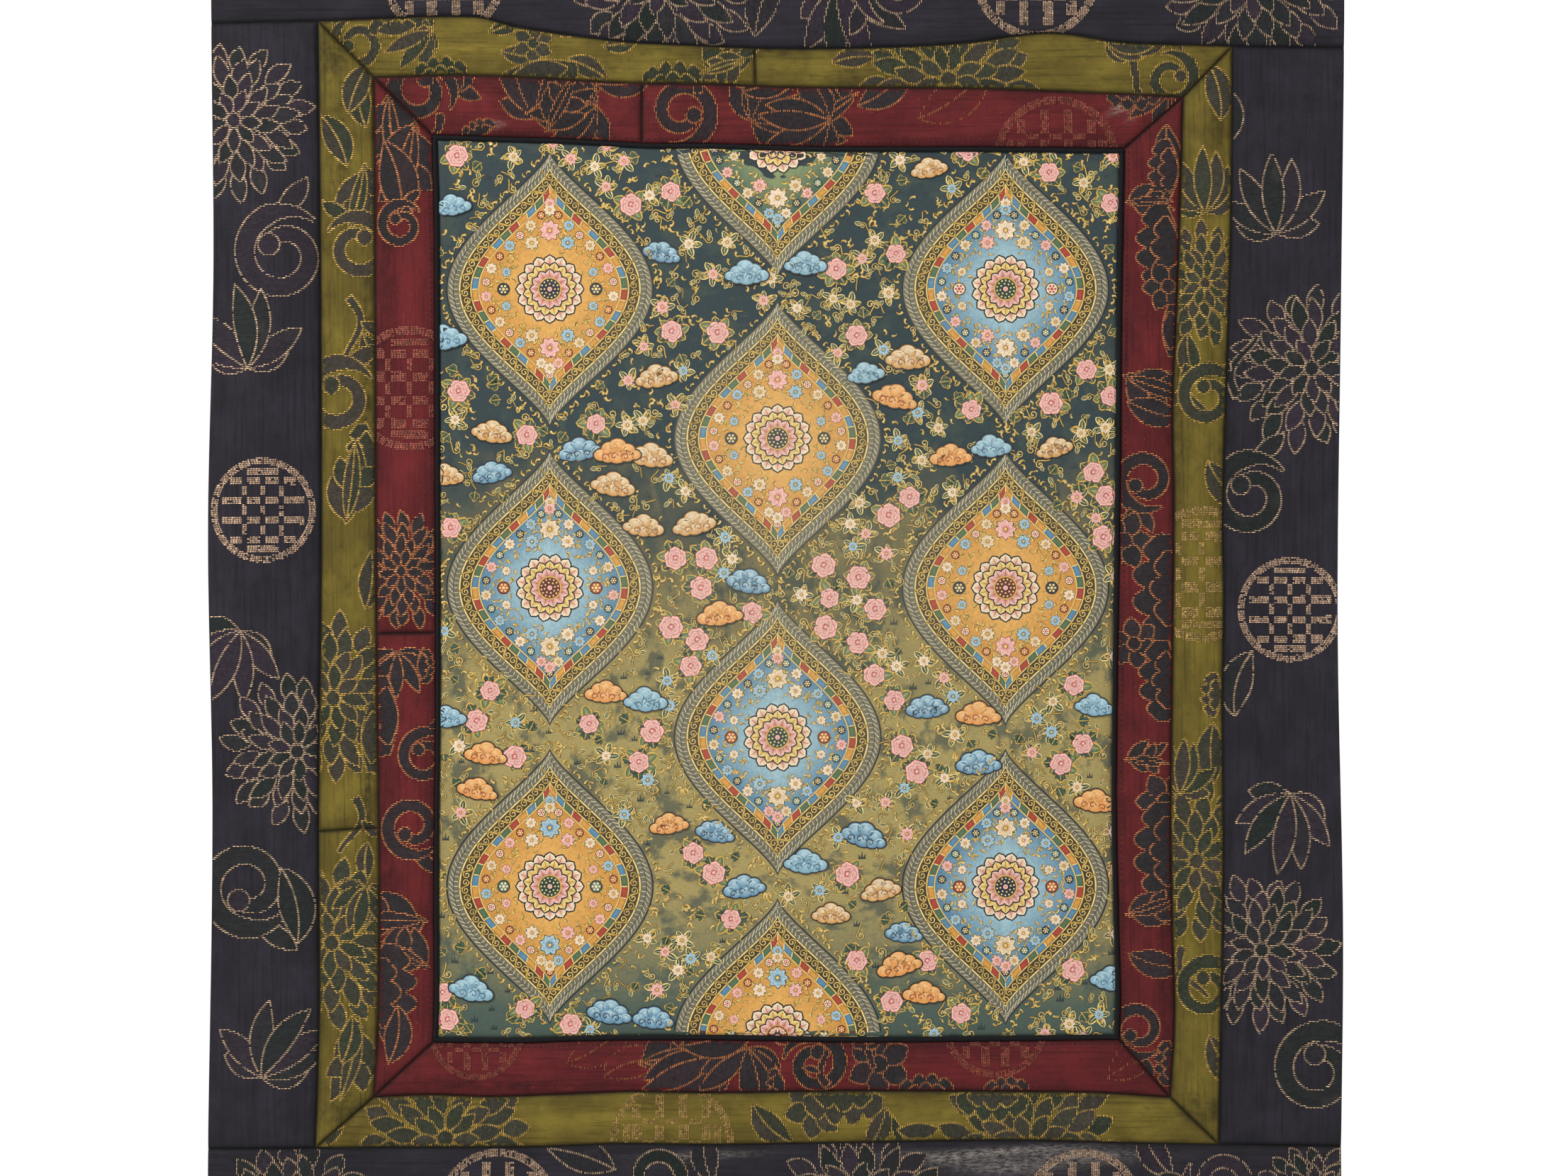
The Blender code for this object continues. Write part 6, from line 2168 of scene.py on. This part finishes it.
def strip_down(name, inner, outer, a, b, lefthand, mitred, **more):
    near, far = inner.part(b.inner, a.inner), outer.part(b.outer, a.outer)
    left, right = (far, near) if lefthand else (near, far)
    return Cloth(
        name,
        Side(Seam(left.corner(0), right.corner(0)), "line", True),
        Side(Seam(left.corner(1), right.corner(1)), "line", True),
        Side(left, "down", True), Side(right, "down", True),
        STRIP_PUFF, lengthwise="down", **more,
    )


F, I, O = frame_seams, inner_seams, outer_seams
strips = [
    (strip_across("maroon_top_left", F["top"], I["top"], START, MAROON_TOP_JOIN, True, 1,
                  tilt=-1.5, seed=1, stitched=2), MAROON_TOP, "maroon"),
    (strip_across("maroon_top_right", F["top"], I["top"], MAROON_TOP_JOIN, END, True, 1,
                  tilt=1.0, seed=2, stitched=2), MAROON_TOP, "maroon"),
    (strip_across("maroon_bottom", F["bottom"], I["bottom"], START, END, False, 1,
                  tilt=0.6, seed=3, stitched=3), MAROON_BOTTOM, "maroon"),
    (strip_down("maroon_left_upper", F["left"], I["left"], START, MAROON_LEFT_JOIN, True, 1,
                tilt=0.8, seed=4, stitched=1), MAROON_LEFT, "maroon"),
    (strip_down("maroon_left_lower", F["left"], I["left"], MAROON_LEFT_JOIN, END, True, 1,
                tilt=-0.7, seed=5, stitched=1), MAROON_LEFT, "maroon"),
    (strip_down("maroon_right", F["right"], I["right"], START, END, False, 1,
                tilt=0.4, seed=6, stitched=0), MAROON_RIGHT, "maroon"),
    (strip_across("olive_top_left", I["top"], O["top"], START, OLIVE_TOP_JOIN, True, 1,
                  tilt=-1.0, seed=7), OLIVE_TOP, "olive"),
    (strip_across("olive_top_right", I["top"], O["top"], OLIVE_TOP_JOIN, END, True, 1,
                  tilt=0.8, seed=8), OLIVE_TOP, "olive"),
    (strip_across("olive_bottom", I["bottom"], O["bottom"], START, END, False, 1,
                  tilt=-0.5, seed=9), OLIVE_BOTTOM, "olive"),
    (strip_down("olive_left_upper", I["left"], O["left"], START, OLIVE_LEFT_JOIN, True, 1,
                tilt=1.2, seed=10), OLIVE_LEFT, "olive"),
    (strip_down("olive_left_lower", I["left"], O["left"], OLIVE_LEFT_JOIN, END, True, 1,
                tilt=-0.8, seed=11), OLIVE_LEFT, "olive"),
    (strip_down("olive_right", I["right"], O["right"], START, END, False, 1,
                tilt=0.9, seed=12), OLIVE_RIGHT, "olive"),
]
hem_left, hem_right = Seam(SIDE_TL, SIDE_BL, HEM_LEFT), Seam(SIDE_TR, SIDE_BR, HEM_RIGHT)
strips += [
    (Cloth("navy_top", Side(heading_seam, "across", True), Side(Seam(EDGE.tl, EDGE.tr), "across", False),
           Side(Seam(SIDE_TL, EDGE.tl), "line", False), Side(Seam(SIDE_TR, EDGE.tr), "line", False),
           PANEL_PUFF, hem=(SIDE_HEM, SIDE_HEM, 0, TOP_HEM), tilt=0.4, seed=13), NAVY_TOP, "navy"),
    (Cloth("navy_bottom", Side(Seam(EDGE.bl, EDGE.br, HEM_FOOT), "across", False), Side(foot_seam, "across", True),
           Side(Seam(EDGE.bl, SIDE_BL), "line", False), Side(Seam(EDGE.br, SIDE_BR), "line", False),
           PANEL_PUFF, hem=(SIDE_HEM, SIDE_HEM, FOOT_HEM, 0), tilt=-0.3, seed=14), NAVY_BOTTOM, "navy"),
    (Cloth("navy_left", Side(Seam(SIDE_BL, OUTER.bl), "line", True), Side(Seam(SIDE_TL, OUTER.tl), "line", True),
           Side(hem_left.part(1, 0), "down", False), Side(O["left"].part(1, 0), "down", True),
           PANEL_PUFF, hem=(SIDE_HEM, 0, 0, 0), lengthwise="down", tilt=0.6, seed=15), NAVY_LEFT, "navy"),
    (Cloth("navy_right", Side(Seam(OUTER.br, SIDE_BR), "line", True), Side(Seam(OUTER.tr, SIDE_TR), "line", True),
           Side(O["right"].part(1, 0), "down", True), Side(hem_right.part(1, 0), "down", False),
           PANEL_PUFF, hem=(0, SIDE_HEM, 0, 0), lengthwise="down", tilt=-0.5, seed=16), NAVY_RIGHT, "navy"),
]

triangles = 0


def tally(ob):
    global triangles
    n = sum(len(p.vertices) - 2 for p in ob.data.polygons)
    triangles += n
    print(f"{ob.name}: {n} triangles")
    return ob


# lengths as cut, seam to seam, with 8 mm for each seam allowance and the hems
def cut_size(c):
    allow = [(8.0 if s.sewn else 0.0) for s in c.sides]
    hems = c.hem
    return (
        (c.wide + allow[0] + allow[1] + hems[0] + hems[1]) * MM,
        (c.high + allow[2] + allow[3] + hems[2] + hems[3]) * MM,
    )


for c, figures, family in strips:
    pitch = 5.6 if family == "navy" else 2.8
    ob = tally(weave_cloth(c, pitch, GROUNDS[family], REVERSES[family], wear))
    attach(ob, "root")
    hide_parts(c.name)
    extra = weave_figures(c, figures, family, fill_mat, weft_mat, 4.4 if family == "navy" else 2.6)
    if extra is not None:
        tally(extra)
        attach(extra, "root")

C = canvas_seams
painting = Cloth(
    "painting", Side(C["bottom"], "across", True), Side(C["top"], "across", True),
    Side(C["left"].part(1, 0), "down", True), Side(C["right"].part(1, 0), "down", True),
    CANVAS_PUFF, thick=CANVAS_THICK, seed=17,
)
panel = tally(weave_cloth(painting, 6.0, canvas_face, canvas_back))
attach(panel, "root")
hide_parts("painting")
painted = paint_panel(painting, paint, gold_paint)
for ob in painted:
    tally(ob)
    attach(ob, "root")


# ------------------------------------------------------------------ piping
def tube(name, x, z, h, radius, sides, slots_mat, along, twist=0.0):
    """A capped tube along a line, its radius given at each ring."""
    p = np.stack([x, h, z], -1)
    d = np.gradient(p, axis=0)
    d /= np.linalg.norm(d, axis=1)[:, None]
    up = np.array([0.0, 1.0, 0.0])
    side = np.cross(d, up)
    side /= np.linalg.norm(side, axis=1)[:, None]
    over = np.cross(side, d)
    a = np.linspace(0, 2 * pi, sides, endpoint=False)
    ring = (
        p[:, None, :]
        + radius[..., None] * (np.cos(a)[None, :, None] * side[:, None, :] + np.sin(a)[None, :, None] * over[:, None, :])
    )
    verts = in_space(ring[..., 0], ring[..., 2], ring[..., 1]).reshape(-1, 3)
    n, m = len(x), sides
    i = np.arange(n * m).reshape(n, m)
    j = np.roll(i, -1, 1)
    quads = np.stack([i[:-1], j[:-1], j[1:], i[1:]], -1).reshape(-1, 4)
    ends = in_space(x[[0, -1]], z[[0, -1]], h[[0, -1]])
    verts = np.concatenate([verts, ends])
    c0, c1 = n * m, n * m + 1
    tris = np.concatenate([
        np.stack([np.full(m, c0), j[0], i[0]], -1), np.stack([np.full(m, c1), i[-1], j[-1]], -1)
    ])
    s = np.broadcast_to(along[:, None], (n, m))
    coords = np.stack([s, np.broadcast_to(a[None, :], (n, m)), s * 0], -1).reshape(-1, 3)
    coords = np.concatenate([coords, coords[:2]])
    return new_object(name, verts, quads, tris, (slots_mat,), 0, 0, {"weave": ("FLOAT_VECTOR", coords)})


def piping(name, seam, start, end, seed):
    count = int(seam.length / 1.0)
    share = np.linspace(start, end, count)
    x, z = seam.point(share)
    h = surface(x, z) + PIPING_PROUD + 0.12 * ripples(x, z, 26.0, 60 + seed) + 0.05 * ripples(x, z, 8.0, 70 + seed)
    along = share * seam.length
    a = np.linspace(0, 2 * pi, 11, endpoint=False)
    r = PIPING_RADIUS * (1.04 + 0.05 * ripples(x, z, 15.0, 80 + seed))[:, None]
    r = r * (1 + 0.045 * np.sin(2 * pi * along[:, None] / 3.2 + 2 * a[None, :]))
    ends = np.minimum(along - along[0], along[-1] - along)
    r = r * (1 - 0.35 * np.exp(-(ends / 0.8) ** 2))[:, None]
    ob = tally(tube(name + "_cord", x, z, h, r, 11, twill, along))
    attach(ob, "root")
    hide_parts(name)


P = piped_seams
reach_across = PIPING_RADIUS / P["top"].length
start_down = (PIPING_RADIUS * 0.4) / P["left"].length
piping("piping_top", P["top"], -reach_across, 1 + reach_across, 1)
piping("piping_bottom", P["bottom"], -reach_across, 1 + reach_across, 2)
piping("piping_left", P["left"], start_down, 1 - start_down, 3)
piping("piping_right", P["right"], start_down, 1 - start_down, 4)


# ------------------------------------------------------------------ stitches
def stitches(name, rows, material, length=1.9, radius=0.21, seed=0):
    """Rows of stitches, each one a short thread that dips in at its ends."""
    rng = np.random.default_rng(400 + seed)
    sides, rings = 6, 4
    a = np.linspace(0, 2 * pi, sides, endpoint=False)
    verts, quads, coords, n = [], [], [], 0
    for x, z, turn, front in rows:
        turn += rng.uniform(-5, 5)
        half = length / 2 * rng.uniform(0.85, 1.1)
        p = np.linspace(-1, 1, rings)
        lift = 0.20 * (1 - p ** 4) - 0.24 * p ** 4
        cx, cz = x + p * half * cos(radians(turn)), z + p * half * sin(radians(turn))
        r = radius * (1 - 0.3 * p ** 4)
        sx, sz = -sin(radians(turn)), cos(radians(turn))
        px = cx[:, None] + r[:, None] * np.cos(a)[None, :] * sx
        pz = cz[:, None] + r[:, None] * np.cos(a)[None, :] * sz
        ph = front + lift[:, None] + r[:, None] * np.sin(a)[None, :]
        verts.append(in_space(px, pz, ph).reshape(-1, 3))
        i = n + np.arange(rings * sides).reshape(rings, sides)
        j = np.roll(i, -1, 1)
        quads.append(np.stack([i[:-1], j[:-1], j[1:], i[1:]], -1).reshape(-1, 4))
        quads.append(np.array([[i[0][0], i[0][5], i[0][4], i[0][3]], [i[0][3], i[0][2], i[0][1], i[0][0]],
                               [i[-1][0], i[-1][1], i[-1][2], i[-1][3]], [i[-1][3], i[-1][4], i[-1][5], i[-1][0]]]))
        coords.append(np.stack(np.broadcast_arrays(p[:, None] * half, a[None, :], 0.0), -1).reshape(-1, 3))
        n += rings * sides
    ob = new_object(name, np.concatenate(verts), np.concatenate(quads), (), (material,), 0, 0,
                    {"weave": ("FLOAT_VECTOR", np.concatenate(coords))})
    return tally(ob)


rows = []
cloths = {c.name: c for c, _, _ in strips}
for side, names, off in (
    ("top", ("maroon_top_left", "maroon_top_right"), 3.55), ("bottom", ("maroon_bottom",), -3.5),
    ("left", ("maroon_left_upper", "maroon_left_lower"), -3.4), ("right", ("maroon_right",), 3.5),
):
    seam = P[side]
    count = int((seam.length + 4) / 3.0)
    share = np.linspace(-2.0 / seam.length, 1 + 2.0 / seam.length, count)
    x, z = seam.point(share)
    x2, z2 = seam.point(share + 0.002)
    turn = np.degrees(np.arctan2(z2 - z, x2 - x))
    if side in ("top", "bottom"):
        z = z + off
    else:
        x = x + off
    for name in names:
        c = cloths[name]
        ok = c.inside(x, z, 1.0)
        h = c.front(x, z)
        rows += [(x[i], z[i], turn[i], h[i]) for i in np.nonzero(ok)[0]]
seam_stitches = stitches("frame_stitches", rows, stitch_mat)
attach(seam_stitches, "root")


# ------------------------------------------------------------------ floor, light, camera
def make_floor():
    t = Tree("pale_floor")
    grain = t.noise(t.node("ShaderNodeTexCoord").outputs["Object"], 3.0, 3.0, 0.5)
    col = t.mix(grain, (0.80, 0.80, 0.80), (0.86, 0.86, 0.86))
    return t.finish(col, 0.8, Specular_IOR_Level=0.1)


a = np.array([(-4, -4, -1.3), (4, -4, -1.3), (4, 4, -1.3), (-4, 4, -1.3)], float)
floor = new_object("floor", a, [(0, 1, 2, 3)], (), (make_floor(),))

scene = bpy.context.scene
scene.view_settings.view_transform = "Standard"
scene.view_settings.look = "None"
scene.view_settings.exposure = 0.0
scene.view_settings.gamma = 1.0

world = bpy.data.worlds.new("studio")
scene.world = world
world.use_nodes = True
nt = world.node_tree
nt.nodes.clear()
out = nt.nodes.new("ShaderNodeOutputWorld")
seen, lit = nt.nodes.new("ShaderNodeBackground"), nt.nodes.new("ShaderNodeBackground")
seen.inputs["Color"].default_value = (1, 1, 1, 1)
seen.inputs["Strength"].default_value = 1.0
lit.inputs["Color"].default_value = (1.0, 0.985, 0.96, 1)
lit.inputs["Strength"].default_value = 0.44
rays, pick = nt.nodes.new("ShaderNodeLightPath"), nt.nodes.new("ShaderNodeMixShader")
nt.links.new(rays.outputs["Is Camera Ray"], pick.inputs[0])
nt.links.new(lit.outputs[0], pick.inputs[1])
nt.links.new(seen.outputs[0], pick.inputs[2])
nt.links.new(pick.outputs[0], out.inputs["Surface"])


def soft_light(name, place, size, power, colour=(1, 1, 1)):
    light = bpy.data.lights.new(name, "AREA")
    light.shape, light.size, light.energy, light.color = "SQUARE", size, power, colour
    ob = bpy.data.objects.new(name, light)
    ob.location = place
    from mathutils import Vector
    ob.rotation_euler = (Vector((0, 0, -0.45)) - Vector(place)).to_track_quat("-Z", "Y").to_euler()
    scene.collection.objects.link(ob)


soft_light("key", (-1.6, -1.5, 1.3), 0.9, 62, (1.0, 0.98, 0.95))
soft_light("fill", (1.9, -2.2, -0.2), 1.8, 12, (0.97, 0.98, 1.0))
soft_light("rear", (0.8, 2.4, 0.8), 1.8, 30)

camera_data = bpy.data.cameras.new("camera")
camera_data.sensor_width = 36.0
camera_data.lens = 36.0 * 2.4 / (2212 * 0.375 * MM)
camera = bpy.data.objects.new("camera", camera_data)
camera.location = (0.0034, -2.4, -0.4411)
camera.rotation_euler = (pi / 2, 0, 0)
camera_data.clip_end = 50
scene.collection.objects.link(camera)
scene.camera = camera

print("triangles in all:", triangles)
bpy.context.view_layer.update()
